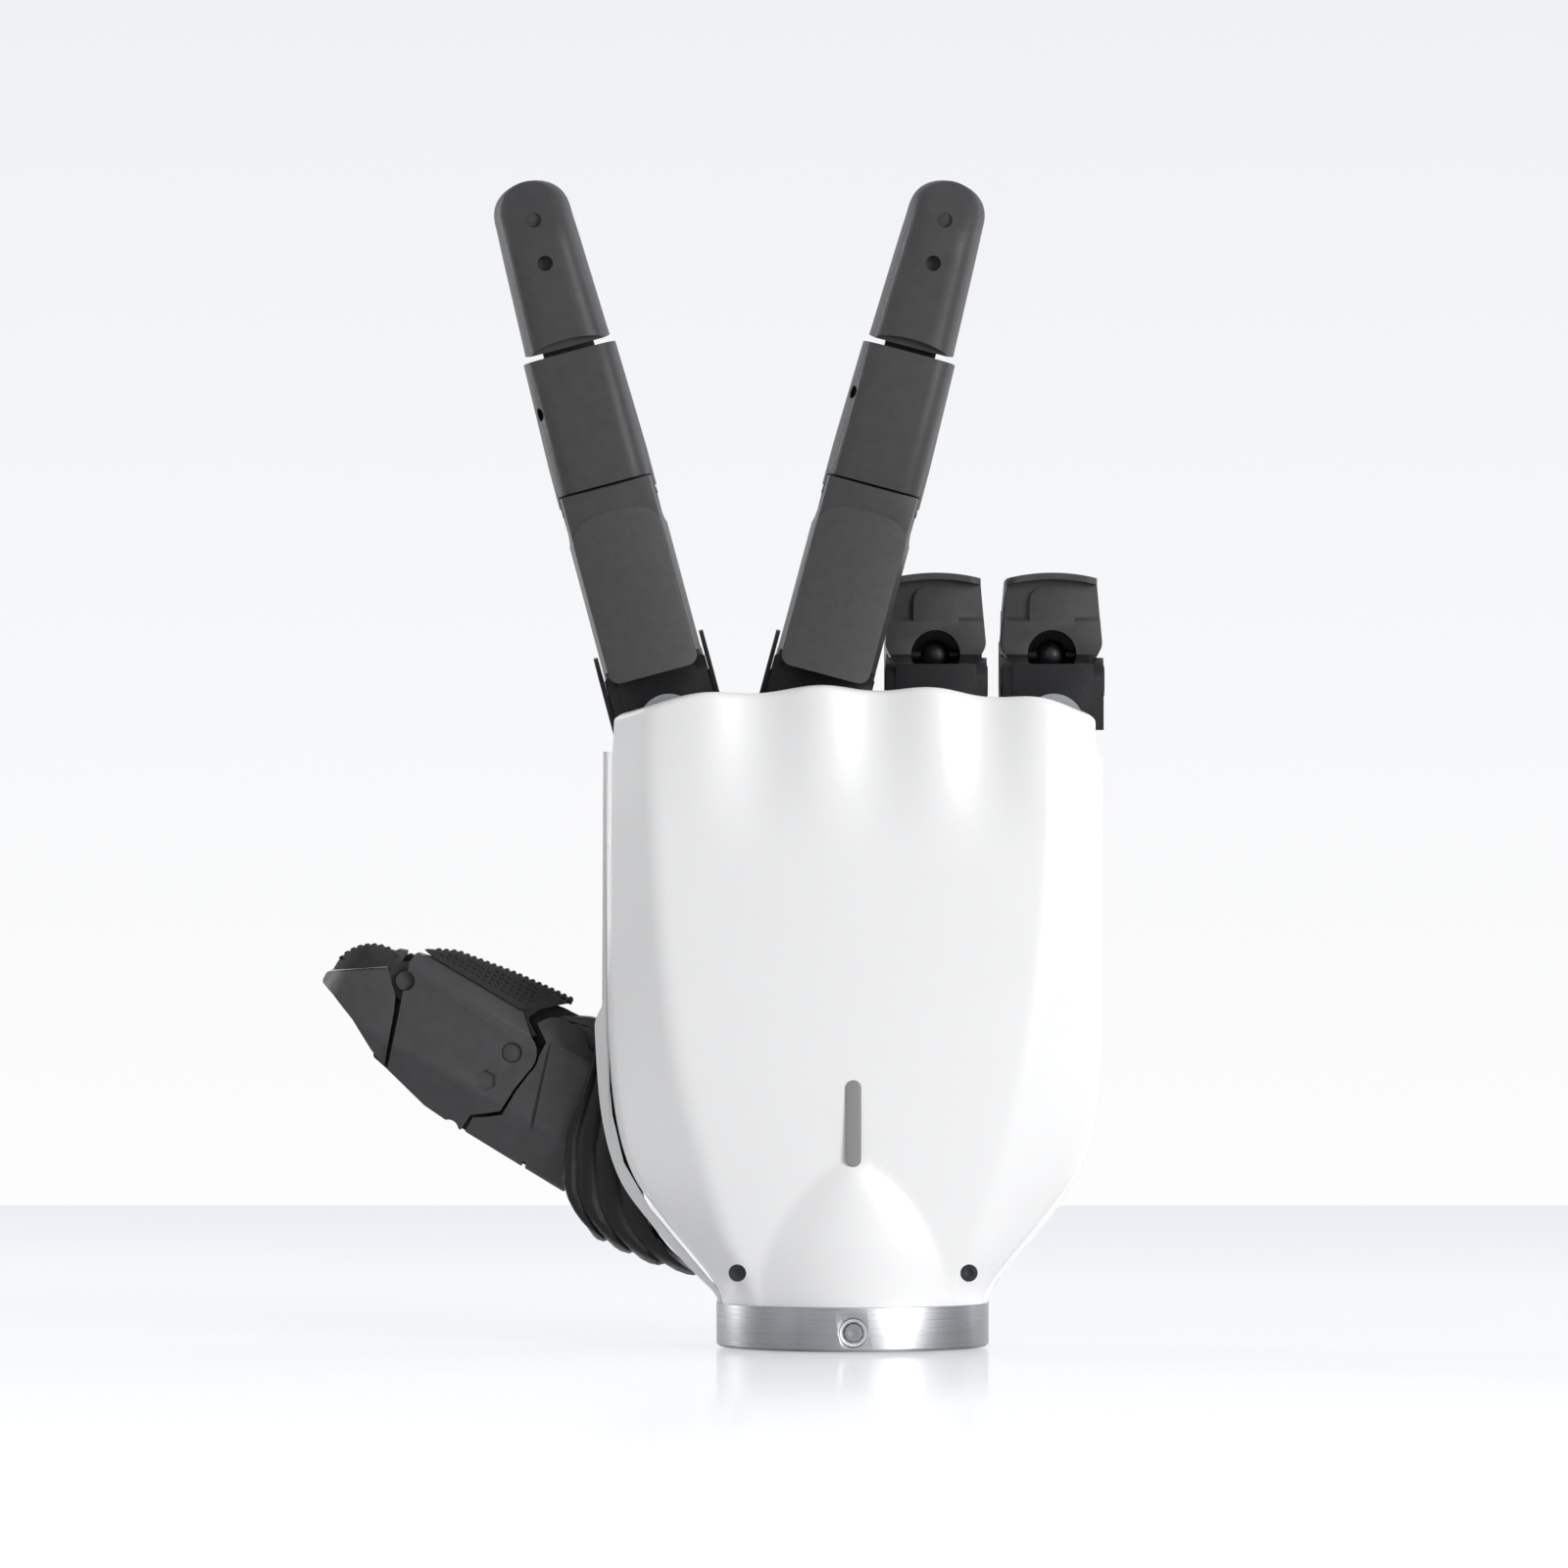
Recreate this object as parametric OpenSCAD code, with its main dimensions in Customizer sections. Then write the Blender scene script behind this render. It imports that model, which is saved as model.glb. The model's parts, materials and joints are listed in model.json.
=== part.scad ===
// Five-fingered dexterous robot hand (right hand) on a round wrist flange.
// +Z runs along the fingers, +X towards the little finger, -Y is the back of the hand.
// The origin is the centre of the flange's mounting face.

/* [Wrist] */
// Diameter of the wrist flange
flange_d = 50; // [46:1:54]
// Thickness of the wrist flange
flange_h = 8; // [7:0.5:10]
// Diameter of the cable bore through the flange
flange_bore_d = 24; // [18:1:26]
// Pitch circle of the flange's mounting holes
flange_pcd = 38; // [34:1:40]
// Diameter of each tapped mounting hole
flange_hole_d = 4; // [3:0.5:5]
// Number of mounting holes
flange_holes = 4; // [3:1:8]
// Diameter of the radial locking screw
lock_screw_d = 3.2; // [2.5:0.1:3.8]

/* [Palm] */
// Width across the palm shells
palm_w = 91.4; // [90:0.5:96]
// Distance from the palm's middle plane to the crown of the back
back_depth = 22; // [21:0.5:24]
// Distance from the palm's middle plane to the palm face
palm_depth = 20; // [19:0.5:22]
// Wall of both palm shells
shell_wall = 2; // [1.6:0.2:2.6]
// Height of the middle of the shell's upper edge
shell_top_z = 120; // [119:0.25:121]
// Depth of the valleys between the knuckles
scallop_depth = 2.4; // [0:0.2:3]
// Height at which the valleys fade out
scallop_foot_z = 86; // [80:1:95]
// How far the back stands out over the wrist
bell_rise = 3.6; // [2:0.2:4]
// Length of the status light
light_len = 15.8; // [12:0.2:20]
// Width of the status light
light_w = 2.9; // [2:0.1:4]
// Height of the status light's middle
light_z = 41.4; // [38:0.5:50]
// Counterbore of the two shell screws
shell_screw_d = 3.2; // [2.5:0.1:3.6]
// Half distance between the two shell screws
shell_screw_x = 21.1; // [19:0.1:22]

/* [Knuckles] */
// Height of the sideways pivots of the fingers
spread_z = 114; // [113:0.5:115]
// Distance from a sideways pivot up to the flexion axle
axle_rise = 8; // [7.8:0.1:9]
// Radius of the sideways pivot pins
spread_pin_r = 2.5; // [2:0.1:2.8]
// Sideways tilt at rest of the index and middle fingers
spread_rest = 15; // [10:1:16]
// Radial running clearance of every pin
pin_gap = 0.05; // [0.02:0.01:0.1]
// Gap between faces that move past each other
side_gap = 0.3; // [0.25:0.05:0.4]

/* [Fingers] */
// Width of a finger at its knuckle
finger_w = 18.6; // [17.6:0.1:18.8]
// Depth of a finger from back to pad
finger_t = 19.3; // [18.6:0.1:20]
// Distance from the flexion axle to the pad side
pad_side = 0.5; // [0.3:0.1:1]
// Length from the flexion axle to the first seam
proximal_len = 36.9; // [34:0.2:42]
// Length from the first to the second seam
medial_len = 25.6; // [24:0.2:32]
// Length from the second seam to the tip
distal_len = 32; // [28:0.5:36]
// Width at the second seam
medial_top_w = 17.3; // [16.5:0.1:17.8]
// Width where the dome of the tip starts
tip_w = 15.2; // [14:0.1:16]
// Radius of the finger axles
axle_r = 1.6; // [1.2:0.1:1.9]
// Seam between two segments of a finger
seam = 0.8; // [0.5:0.1:1]
// Thickness of the cover plate on the back of a finger
cover_t = 1.2; // [0.8:0.1:1.6]

/* [Thumb] */
// Elevation of the thumb above the horizontal
thumb_rise = 30; // [25:1:35]
// Width of the thumb
thumb_w = 18; // [16:0.2:19]
// Radius of the thumb's axles
thumb_axle_r = 1.8; // [1.4:0.1:2.2]
// Depth of the boot
boot_w = 22.6; // [20:0.2:23]
// Height of the boot's ribs
boot_rib = 0.6; // [0.4:0.05:0.9]
// Number of the boot's ribs
boot_ribs = 4; // [3:1:6]

/* [Hidden] */
FINGERS = ["index", "middle", "ring", "pinky"];
FINGER_PIECES = ["knuckle", "knuckle_pin", "proximal", "cover", "rod_end",
                 "medial_pin", "medial", "distal_pin", "distal", "pad"];
PALM_PIECES = ["wrist_flange", "dorsal_shell", "palm_shell", "palm_pad", "chassis", "screws",
               "status_light", "controller_board", "actuators", "pivot_pins", "thumb_boot"];
THUMB_PIECES = ["thumb_swivel", "thumb_bend_pin", "thumb_base", "thumb_medial_pin", "thumb_medial",
                "thumb_medial_pad", "thumb_distal_pin", "thumb_distal", "thumb_distal_pad"];
$fn = 48;
eps = 0.01;
// Play of a pin in the piece that holds it
pin_seat = 0.01;

// Colours
white = "#f2f2f2";
charcoal = "#4e4e4e";
dark = "#2c2c2c";
black = "#1b1b1b";
metal = "#b9bcc0";

// Sideways pivots of the four fingers, their tilt at rest, and how far each is folded
finger_x = [-33.6, -7.9, 15.3, 36.7];
finger_tilt = [-spread_rest, spread_rest, 0, 0];
finger_curl = [0, 0, 90, 90];
// Share of the knuckle's fold that the two outer joints add
medial_ratio = 8 / 9;
distal_ratio = 1 / 3;

// ---- helpers ----

// Points on an arc
function arc(c, r, a0, a1, n = 8) = [for (i = [0:n]) c + r * [cos(a0 + (a1 - a0) * i / n),
    sin(a0 + (a1 - a0) * i / n)]];
function unit(v) = v / norm(v);
function angle_of(v) = atan2(v[1], v[0]);
function turn(a) = a > 180 ? a - 360 : (a < -180 ? a + 360 : a);

// One corner of an outline, rounded by the arc that touches both of its sides
function corner(p, q, s, r, n) =
    let (u = unit(p - q), v = unit(s - q), half = acos(min(1, max(-1, u * v))) / 2,
         c = q + unit(u + v) * r / sin(half), d = r / tan(half),
         a0 = angle_of(q + u * d - c), sweep = turn(angle_of(q + v * d - c) - a0))
    arc(c, r, a0, a0 + sweep, n);

// An outline whose corners are rounded: each entry is [x, y, radius]
function rounded(pts, n = 4) =
    let (m = len(pts), xy = [for (p = pts) [p[0], p[1]]])
    [for (i = [0:m - 1]) each pts[i][2] > 0
        ? corner(xy[(i + m - 1) % m], xy[i], xy[(i + 1) % m], pts[i][2], n) : [xy[i]]];

// Smooth curve through a table of [position, value] rows
function slope(t, i) = i <= 0 || i >= len(t) - 1 ? 0
    : (t[i + 1][1] - t[i - 1][1]) / (t[i + 1][0] - t[i - 1][0]);
function row_at(t, x, i = 0) = i >= len(t) - 2 || x < t[i + 1][0] ? i : row_at(t, x, i + 1);
function smooth(t, x) =
    let (i = row_at(t, x), h = t[i + 1][0] - t[i][0], s = min(1, max(0, (x - t[i][0]) / h)))
    t[i][1] * (1 + 2 * s) * pow(1 - s, 2) + slope(t, i) * h * s * pow(1 - s, 2)
    + t[i + 1][1] * s * s * (3 - 2 * s) + slope(t, i + 1) * h * s * s * (s - 1);
function ease(x) = let (s = min(1, max(0, x))) s * s * (3 - 2 * s);

// Outline in the X-Z plane, drawn through the depth from y0 to y1
module slab_y(pts, y0, y1) {
    translate([0, y1, 0]) rotate([90, 0, 0]) linear_extrude(y1 - y0) polygon(pts);
}

// Outline of [y, z] points, drawn across the width w
module slab_x(pts, w) {
    rotate([90, 0, 90]) translate([0, 0, -w / 2]) linear_extrude(w) polygon(pts);
}

// Round bar along X or Y, centred on the origin
module bar_x(r, w) { rotate([0, 90, 0]) cylinder(r = r, h = w, center = true); }
module bar_y(r, y0, y1) { translate([0, y1, 0]) rotate([90, 0, 0]) cylinder(r = r, h = y1 - y0); }

// ---- palm shells ----

half_w = palm_w / 2;
parting_y = -5;
shell_z = flange_h;
// Half width, half distance between the creases, and depth of the back at each height
side_table = [[8, -21.1], [12, -19.5], [17, -15.7], [23, -10.9], [32, -4.9], [43, -1.7], [58, -0.3], [75,
    0], [125, 0]];
crease_table = [[8, 18.5], [19, 23], [35, 27.5], [53, 32], [82, 35.6], [120, 37.6]];
back_table = [[8, -4], [20, -2.4], [34, -0.8], [52, 0], [100, 0], [120, -0.8]];
palm_table = [[8, -3.5], [26, -1], [50, 0], [100, 0], [122, -3]];
function side_x(z) = half_w + smooth(side_table, z);
function crease_x(z) = smooth(crease_table, z);
// Phase of the knuckle row: whole numbers on the crown of each knuckle
knuckle_row = [[-46, -0.45], [-28, 0], [-6.1, 1], [14.4, 2], [34, 3], [46, 3.4]];
top_table = [[-46, -4], [-28, -0.8], [-6.1, 0.6], [14.4, 0.2], [34, -1.6], [46, -4.2]];
function knuckle_wave(x) = cos(360 * lookup(x, knuckle_row));
function top_z(x) = shell_top_z + smooth(top_table, x) + 0.5 * knuckle_wave(x);
function valley(x, z) = scallop_depth * (0.5 - 0.5 * knuckle_wave(x)) * ease((z - scallop_foot_z)
    / (shell_top_z - scallop_foot_z));
// The back blends over the wrist in a bell
bell_top_z = 33;
bell_half = 14.5;
function bell(x, z) =
    let (k = 1 - pow((z - shell_z) / (bell_top_z - shell_z), 2), w = bell_half * sqrt(max(0.0001, k)))
    z >= bell_top_z ? 0 : bell_rise * pow(max(0, k), 0.35) * sqrt(max(0, 1 - pow(x / w, 2)));
crown_drop = 1.8;
facet_drop = 7;
function back_y(x, z, c) = -back_depth - smooth(back_table, z) + crown_drop * pow(x / c, 2) + valley(x, z)
    - bell(x, z);

// Columns of the back's grid: the wall, the side facet, the crown, and the same mirrored
crown_cols = 28;
function back_section(z, t) =
    let (w = side_x(z) - t - 0.8, c = min(crease_x(z), w - 2), ye = back_y(c, z, c) + facet_drop + t)
    concat([[-w, parting_y], [-w, ye + 1.5], [-w + 0.5, ye + 0.4], [-w + 1.5, ye - 0.7]],
           [for (i = [0:crown_cols]) let (x = -c + 2 * c * i / crown_cols) [x, back_y(x, z, c) + t]],
           [[w - 1.5, ye - 0.7], [w - 0.5, ye + 0.4], [w, ye + 1.5], [w, parting_y]]);

// The palm side bulges on the thumb's side, to hold its turret
bulge = 1.7;
function bulge_x(z) = bulge * ease((68 - z) / 5) * ease((z - 8) / 8);
function palm_section(z, t) =
    let (w = side_x(z) - t, l = w + bulge_x(z), y = palm_depth + smooth(palm_table, z) - t, k = 6)
    concat([[-l, parting_y]], [for (p = arc([-l + k, y - k], k, 180, 90, 4)) p],
           [for (p = arc([w - k, y - k], k, 90, 0, 4)) p], [[w, parting_y]]);

// Heights of the rows, closer together where the surface turns
back_rows = concat([for (z = [0:1.5:6]) z], [for (z = [8:2.4:26]) z], [32, 40, 50, 62, 74],
                   [for (z = [80:4:100]) z], [103, 106, 108.5, 110.6, 112]);
palm_rows = [0, 3, 6, 10, 14, 18, 23, 28, 34, 42, 50, 54, 57, 60, 66, 74, 90, 102, 108, 112];
row_span = back_rows[len(back_rows) - 1];

// Closed shell between two grids of points, an outer and an inner one, with equal rows and columns
module shell_between(outer, inner) {
    rows = len(outer);
    cols = len(outer[0]);
    n = rows * cols;
    points = concat([for (r = outer) each r], [for (r = inner) each r]);
    faces = concat(
        [for (i = [0:rows - 2]) for (j = [0:cols - 2]) let (a = i * cols + j)
            each [[a, a + cols, a + 1], [a + 1, a + cols, a + cols + 1]]],
        [for (i = [0:rows - 2]) for (j = [0:cols - 2]) let (a = n + i * cols + j)
            each [[a, a + 1, a + cols], [a + 1, a + cols + 1, a + cols]]],
        [for (j = [0:cols - 2]) let (a = j, b = n + j) each [[a, a + 1, b], [a + 1, b + 1, b]]],
        [for (j = [0:cols - 2]) let (a = (rows - 1) * cols + j, b = n + a)
            each [[a, b, a + 1], [a + 1, b, b + 1]]],
        [for (i = [0:rows - 2]) let (a = i * cols, b = n + a) each [[a, b, a + cols], [a + cols, b,
            b + cols]]],
        [for (i = [0:rows - 2]) let (a = i * cols + cols - 1, b = n + a)
            each [[a, a + cols, b], [a + cols, b + cols, b]]]);
    polyhedron(points, faces);
}

palm_top_z = 112;

// A row of the back follows the knuckles more and more towards the top
function back_row(v, t) =
    [for (p = back_section(shell_z + v, t)) [p[0], p[1], shell_z + v * (top_z(p[0]) - shell_z) / row_span]];
function palm_row(v, t) = [for (p = palm_section(shell_z + v, t)) [p[0], p[1],
    shell_z + v * (palm_top_z - shell_z) / row_span]];

// Sideways clearance round the outer knuckles: the shells' side walls end below it
notch_z = spread_z - 5;
notch_x = 38;
module side_notches() {
    for (s = [-1, 1]) translate([s * (notch_x + 10), 5, notch_z + 10]) cube([20, 34, 20], center = true);
}

// Rounded slot of the status light, between two depths
module light_bar(w, len, y0, y1) {
    r = w / 2;
    translate([0, y1, light_z]) rotate([90, 0, 0]) linear_extrude(y1 - y0) {
        square([w, len - w], center = true);
        for (s = [-1, 1]) translate([0, s * (len / 2 - r)]) circle(r = r);
    }
}

shell_screw_z = 14;
screw_seat_y = -14.6;
module at_shell_screws() { for (s = [-1, 1]) translate([s * shell_screw_x, 0, shell_screw_z]) children(); }

module dorsal_shell() {
    color(white) difference() {
        shell_between([for (v = back_rows) back_row(v, 0)], [for (v = back_rows) back_row(v, shell_wall)]);
        side_notches();
        light_bar(light_w, light_len, -back_depth - 4, -back_depth + 4);
        at_shell_screws() bar_y(shell_screw_d / 2, -back_depth, screw_seat_y);
        at_shell_screws() bar_y(shell_screw_d / 4, -back_depth, 0);
    }
}

module status_light() {
    color("#8a8888") light_bar(light_w, light_len, -back_depth - 0.2, -back_depth + shell_wall);
}

// ---- thumb placing: the thumb lies in a plane parallel to the back ----

thumb_y = 9;
turret_x = -24;
bend_x = -36;
bend_z = 40;
turret_r = 10;
turret_z0 = 22;
turret_z1 = 58;
arm_t = 4;
swivel_pin_r = 3;

module thumb_frame() { translate([bend_x, thumb_y, bend_z]) rotate([0, thumb_rise, 0]) rotate([0, 0, 180])
    children(); }

// Bay in the palm shell for the thumb and its boot, open to the side and to the front
bay_r = 26;
bay_z0 = 11;
bay_z1 = 72.5;
rim_y = parting_y + 2;
module thumb_bay() {
    translate([turret_x, thumb_y, bay_z0]) intersection() {
        cylinder(r = bay_r, h = bay_z1 - bay_z0);
        translate([-bay_r, rim_y - thumb_y, 0]) cube([bay_r + turret_r, 2 * bay_r, bay_z1 - bay_z0]);
    }
}

pad_pocket = 1;
pad_in = 9;
palm_pad_z0 = bay_z1;
palm_pad_z1 = palm_top_z - 8;
palm_pad_half = half_w - pad_in - 2;
palm_pad_outline = rounded([[-palm_pad_half + 2, palm_pad_z0, 4], [palm_pad_half - 2, palm_pad_z0, 4],
                            [palm_pad_half, palm_pad_z1, 6], [-palm_pad_half, palm_pad_z1, 6]]);
module palm_shell() {
    color(white) difference() {
        shell_between([for (v = palm_rows) palm_row(v, 0)], [for (v = palm_rows) palm_row(v, shell_wall)]);
        thumb_bay();
        side_notches();
        slab_y(palm_pad_outline, palm_depth - pad_pocket, palm_depth + 2);
    }
}

module palm_pad() {
    color(dark) slab_y(palm_pad_outline, palm_depth - pad_pocket, palm_depth + 0.6);
}

// ---- wrist ----

flange_r = flange_d / 2;
module at_flange_holes() { for (i = [0:flange_holes - 1]) rotate(45 + 360 * i / flange_holes)
    translate([flange_pcd / 2, 0, 0]) children(); }
lock_z = flange_h * 0.44;
lock_seat_d = lock_screw_d + 1.8;
lock_len = 4;
module wrist_flange() {
    chamfer = 0.5;
    color(metal) difference() {
        union() {
            cylinder(r1 = flange_r - chamfer, r2 = flange_r, h = chamfer);
            translate([0, 0, chamfer]) cylinder(r = flange_r, h = flange_h - chamfer);
        }
        translate([0, 0, -1]) cylinder(d = flange_bore_d, h = flange_h + 2);
        at_flange_holes() translate([0, 0, -1]) cylinder(d = flange_hole_d, h = flange_h + 2);
        for (a = [0, 180]) rotate(a) translate([0, 0, lock_z]) {
            bar_y(lock_seat_d / 2, -flange_r - 1, -flange_r + 1);
            bar_y(lock_screw_d / 2, -flange_r - 1, -flange_r + 1 + lock_len);
        }
    }
}

// Locking screws of the flange and the two shell screws
hex_af = 1.6;
module cap_screw(r, head_r, len, head) {
    difference() {
        union() {
            bar_y(r, 0, len);
            bar_y(head_r, -head, 0);
        }
        translate([0, -head / 2, 0]) rotate([90, 0, 0]) cylinder(d = hex_af, h = head, $fn = 6);
    }
}
module screws() {
    head = 1;
    color(metal) {
        for (a = [0, 180]) rotate(a) translate([0, -flange_r + 1, lock_z])
            cap_screw(lock_screw_d / 2, lock_screw_d / 2, lock_len, 0.8);
        at_shell_screws() translate([0, screw_seat_y, 0])
            cap_screw(shell_screw_d / 4, shell_screw_d / 2, 6, head);
    }
}

// ---- chassis ----

// Spine plate, with a narrow foot on the deck over the flange, and the crossbar that carries the fingers
base_r = 14;
base_bore_r = 9;
deck_t = 4;
deck_z = shell_z + deck_t;
foot_w = 36;
foot_h = 12;
spine_w = 52;
spine_y0 = -3.5;
spine_y1 = 1.5;
bar_z0 = spread_z - 14;
bar_z1 = spread_z - 6.5;
bar_w = 80;
fork_in = 6.3;
fork_t = 2.6;
fork_r = 5.6;
fork_out = fork_in + fork_t;
motor_r = 5.5;
motor_y = spine_y0 - motor_r;
motor_x = [-25, -8.5, 8.5, 25];
motor_z0 = 30;
motor_len = 58;
motor_nose_r = 3;
motor_nose = 6;
rod_r = 1.5;
rod_len = 12;
// Two clamps hold the motors to the spine
clamp_t = 5;
clamp_in = 8;
clamp_w = 64;
clamp_step = 3;
clamp_z = [motor_z0 + clamp_in, motor_z0 + motor_len - clamp_in];
board_y = 8;
board_t = 1.6;
board_w = 36;
board_h = 64;
board_x = 12;
board_z0 = 28;
post_r = 2.5;
post_in_x = 8;
post_in_z = 6;
post_x = [board_x - board_w / 2 + post_in_x, board_x + board_w / 2 - post_in_x];
post_z = [board_z0 + post_in_z, board_z0 + board_h - post_in_z];
// Blocks that stiffen the foot of the spine
gusset = [9, 4, 4];
gusset_x = 17;
arm_r = 6;
arm_z = [turret_z0 - arm_t - side_gap, turret_z1 + side_gap];
arm_foot = [arm_r + arm_r, 2, arm_t];

module chassis() {
    color("#9a9da1") difference() {
        union() {
            translate([0, 0, shell_z]) cylinder(r = base_r, h = deck_t);
            translate([-foot_w / 2, spine_y0, deck_z]) cube([foot_w, spine_y1 - spine_y0, foot_h]);
            translate([-spine_w / 2, spine_y0, deck_z + foot_h])
                cube([spine_w, spine_y1 - spine_y0, bar_z0 - deck_z - foot_h]);
            translate([-bar_w / 2, -fork_out, bar_z0]) cube([bar_w, 2 * fork_out, bar_z1 - bar_z0]);
            for (x = finger_x) for (s = [-1, 1]) translate([x, s * (fork_in + fork_t / 2), 0]) {
                translate([0, 0, spread_z]) bar_y(fork_r, -fork_t / 2, fork_t / 2);
                translate([-fork_r, -fork_t / 2, bar_z1 - eps]) cube([2 * fork_r, fork_t, spread_z - bar_z1]);
            }
            for (z = clamp_z) translate([-clamp_w / 2, motor_y - motor_r + clamp_step, z])
                cube([clamp_w, motor_r * 2 - clamp_step, clamp_t]);
            for (z = arm_z) hull() {
                translate([turret_x, thumb_y, z]) cylinder(r = arm_r, h = arm_t, $fn = 32);
                translate([turret_x - 2, spine_y1 - 2, z]) cube(arm_foot);
            }
            at_shell_screws() bar_y(post_r, screw_seat_y + 4, spine_y0 - 0.5);
            for (s = [-1, 1]) translate([s * gusset_x, spine_y0 - gusset[1] / 2 - 0.5, deck_z - 1])
                cube(gusset, center = true);
            for (x = post_x) for (z = post_z) translate([x, 0, z]) bar_y(post_r, spine_y1 - 1, board_y);
        }
        translate([0, 0, shell_z - 1]) cylinder(r = base_bore_r, h = deck_t + 3);
        for (x = finger_x) translate([x, 0, spread_z]) bar_y(spread_pin_r + pin_seat, -2 * fork_out,
            2 * fork_out);
        for (x = motor_x) translate([x, motor_y, 0]) {
            cylinder(r = motor_r + pin_seat, h = bar_z0 - 1);
            cylinder(r = rod_r + side_gap, h = bar_z1 + 1);
        }
        translate([turret_x, thumb_y, 0]) cylinder(r = swivel_pin_r + pin_seat, h = turret_z1 + 2 * arm_t);
        translate([turret_x, thumb_y, turret_z0 - side_gap])
            cylinder(r = turret_r + 1, h = turret_z1 - turret_z0 + 2 * side_gap);
        at_shell_screws() bar_y(shell_screw_d / 4, -back_depth, 0);
    }
}

chip = 14;
chip_t = 1.6;
plug = [20, 4, 6];
module controller_board() {
    color("#1f6b3a") {
        translate([board_x - board_w / 2, board_y, board_z0]) cube([board_w, board_t, board_h]);
        translate([board_x - chip / 2, board_y + board_t, board_z0 + board_h / 4]) cube([chip, chip_t, chip]);
        translate([board_x - plug[0] / 2, board_y + board_t, board_z0 + 2 * board_h / 3]) cube(plug);
    }
}

module actuators() {
    color("#77797c") {
        for (x = motor_x) translate([x, motor_y, motor_z0]) {
            cylinder(r = motor_r, h = motor_len);
            translate([0, 0, motor_len]) cylinder(r = motor_nose_r, h = motor_nose);
            translate([0, 0, motor_len + motor_nose]) cylinder(r = rod_r, h = rod_len);
        }
    }
}

// Pins of the sideways pivots, and the turret's pin
module pivot_pins() {
    color(metal) {
        for (x = finger_x) translate([x, 0, spread_z]) bar_y(spread_pin_r, -fork_out, fork_out);
        translate([turret_x, thumb_y, arm_z[0]]) cylinder(r = swivel_pin_r, h = arm_z[1] + arm_t - arm_z[0]);
    }
}

// ---- fingers: each piece is drawn in the frame of the axle that it turns on ----
// In a finger's frame +Z runs to the tip and -Y is its back.

half_f = finger_w / 2;
back_f = pad_side - finger_t;
cheek_in = half_f - 1.9;
cheek_r = 4.3;
boss_proud = 0.2;
heel_r = 5.7;
heel_z = 2.9;
lug_w = cheek_in - side_gap;
lug_r = 3.3;
yoke_y = -4.6;
yoke_t = 1;
yoke_top = 3.1;

// The proximal segment's own first seam, and the medial segment's axle
medial_y = -7;
medial_z = proximal_len - 1.9;
medial_r = 6.5;
tongue_w = 9.6;
tongue_r = 5.4;
distal_y = 1;
distal_z = medial_len + 1.9 - 4;
distal_r = 3.6;

module knuckle_frame(i) { translate([finger_x[i], 0, spread_z]) rotate([0, finger_tilt[i], 0]) children(); }
module proximal_frame(i) { knuckle_frame(i) translate([0, 0, axle_rise]) rotate([-finger_curl[i], 0, 0])
    children(); }
module medial_frame(i) {
    proximal_frame(i) translate([0, medial_y, medial_z]) rotate([-finger_curl[i] * medial_ratio, 0, 0])
        children();
}
module distal_frame(i) {
    medial_frame(i) translate([0, distal_y, distal_z]) rotate([-finger_curl[i] * distal_ratio, 0, 0])
        children();
}

plate_t = 0.8;
plate_sides = [[-1, 1], [-1], [], []];
spacer_outline = [[-cheek_r + 1, 0], [cheek_r - 1, 0], [cheek_r - 1, axle_rise], [-cheek_r + 1, axle_rise]];
plate_outline = rounded([[-cheek_r, 0, 1], [cheek_r, 0, 1], [cheek_r, axle_rise + 4, 2], [0,
    axle_rise + 8, 1.5],
                         [-cheek_r, axle_rise + 3, 2]]);

// Knuckle: the fork that carries the finger, on its sideways pivot
module knuckle(plate_sides) {
    boss_r = 5.2;
    boss_l = fork_in - side_gap;
    foot_z = 2.5;
    color(black) difference() {
        union() {
            bar_y(boss_r, -boss_l, boss_l);
            intersection() {
                translate([-half_f, -4.8, -1]) cube([finger_w, 9.6, axle_rise + cheek_r + 1]);
                union() {
                    translate([0, 0, axle_rise]) bar_x(cheek_r, finger_w);
                    translate([-half_f, -cheek_r, -1]) cube([finger_w, 2 * cheek_r, axle_rise + 1]);
                }
            }
            translate([-cheek_in, yoke_y, 0]) cube([2 * cheek_in, yoke_t, axle_rise + yoke_top]);
            for (s = [-1, 1]) translate([s * half_f, 0, axle_rise]) bar_x(axle_r + 1.2, 2 * boss_proud);
            // Side plates, where the neighbour leaves room
            for (s = plate_sides) {
                translate([s * (half_f + side_gap + plate_t / 2), 0, 0]) slab_x(plate_outline, plate_t);
                translate([s * (half_f + side_gap / 2), 0, 0]) slab_x(spacer_outline, 2 * side_gap);
            }
        }
        translate([-cheek_in, yoke_y + yoke_t, foot_z]) cube([2 * cheek_in, 20, 30]);
        translate([-cheek_in, yoke_y - 1, axle_rise + yoke_top]) cube([2 * cheek_in, 20, 30]);
        bar_y(spread_pin_r + pin_gap, -20, 20);
        translate([0, 0, axle_rise]) bar_x(axle_r + pin_seat, 3 * finger_w);
    }
}

module knuckle_pin() {
    color(metal) translate([0, 0, axle_rise]) bar_x(axle_r, finger_w + 2 * boss_proud);
}

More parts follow.
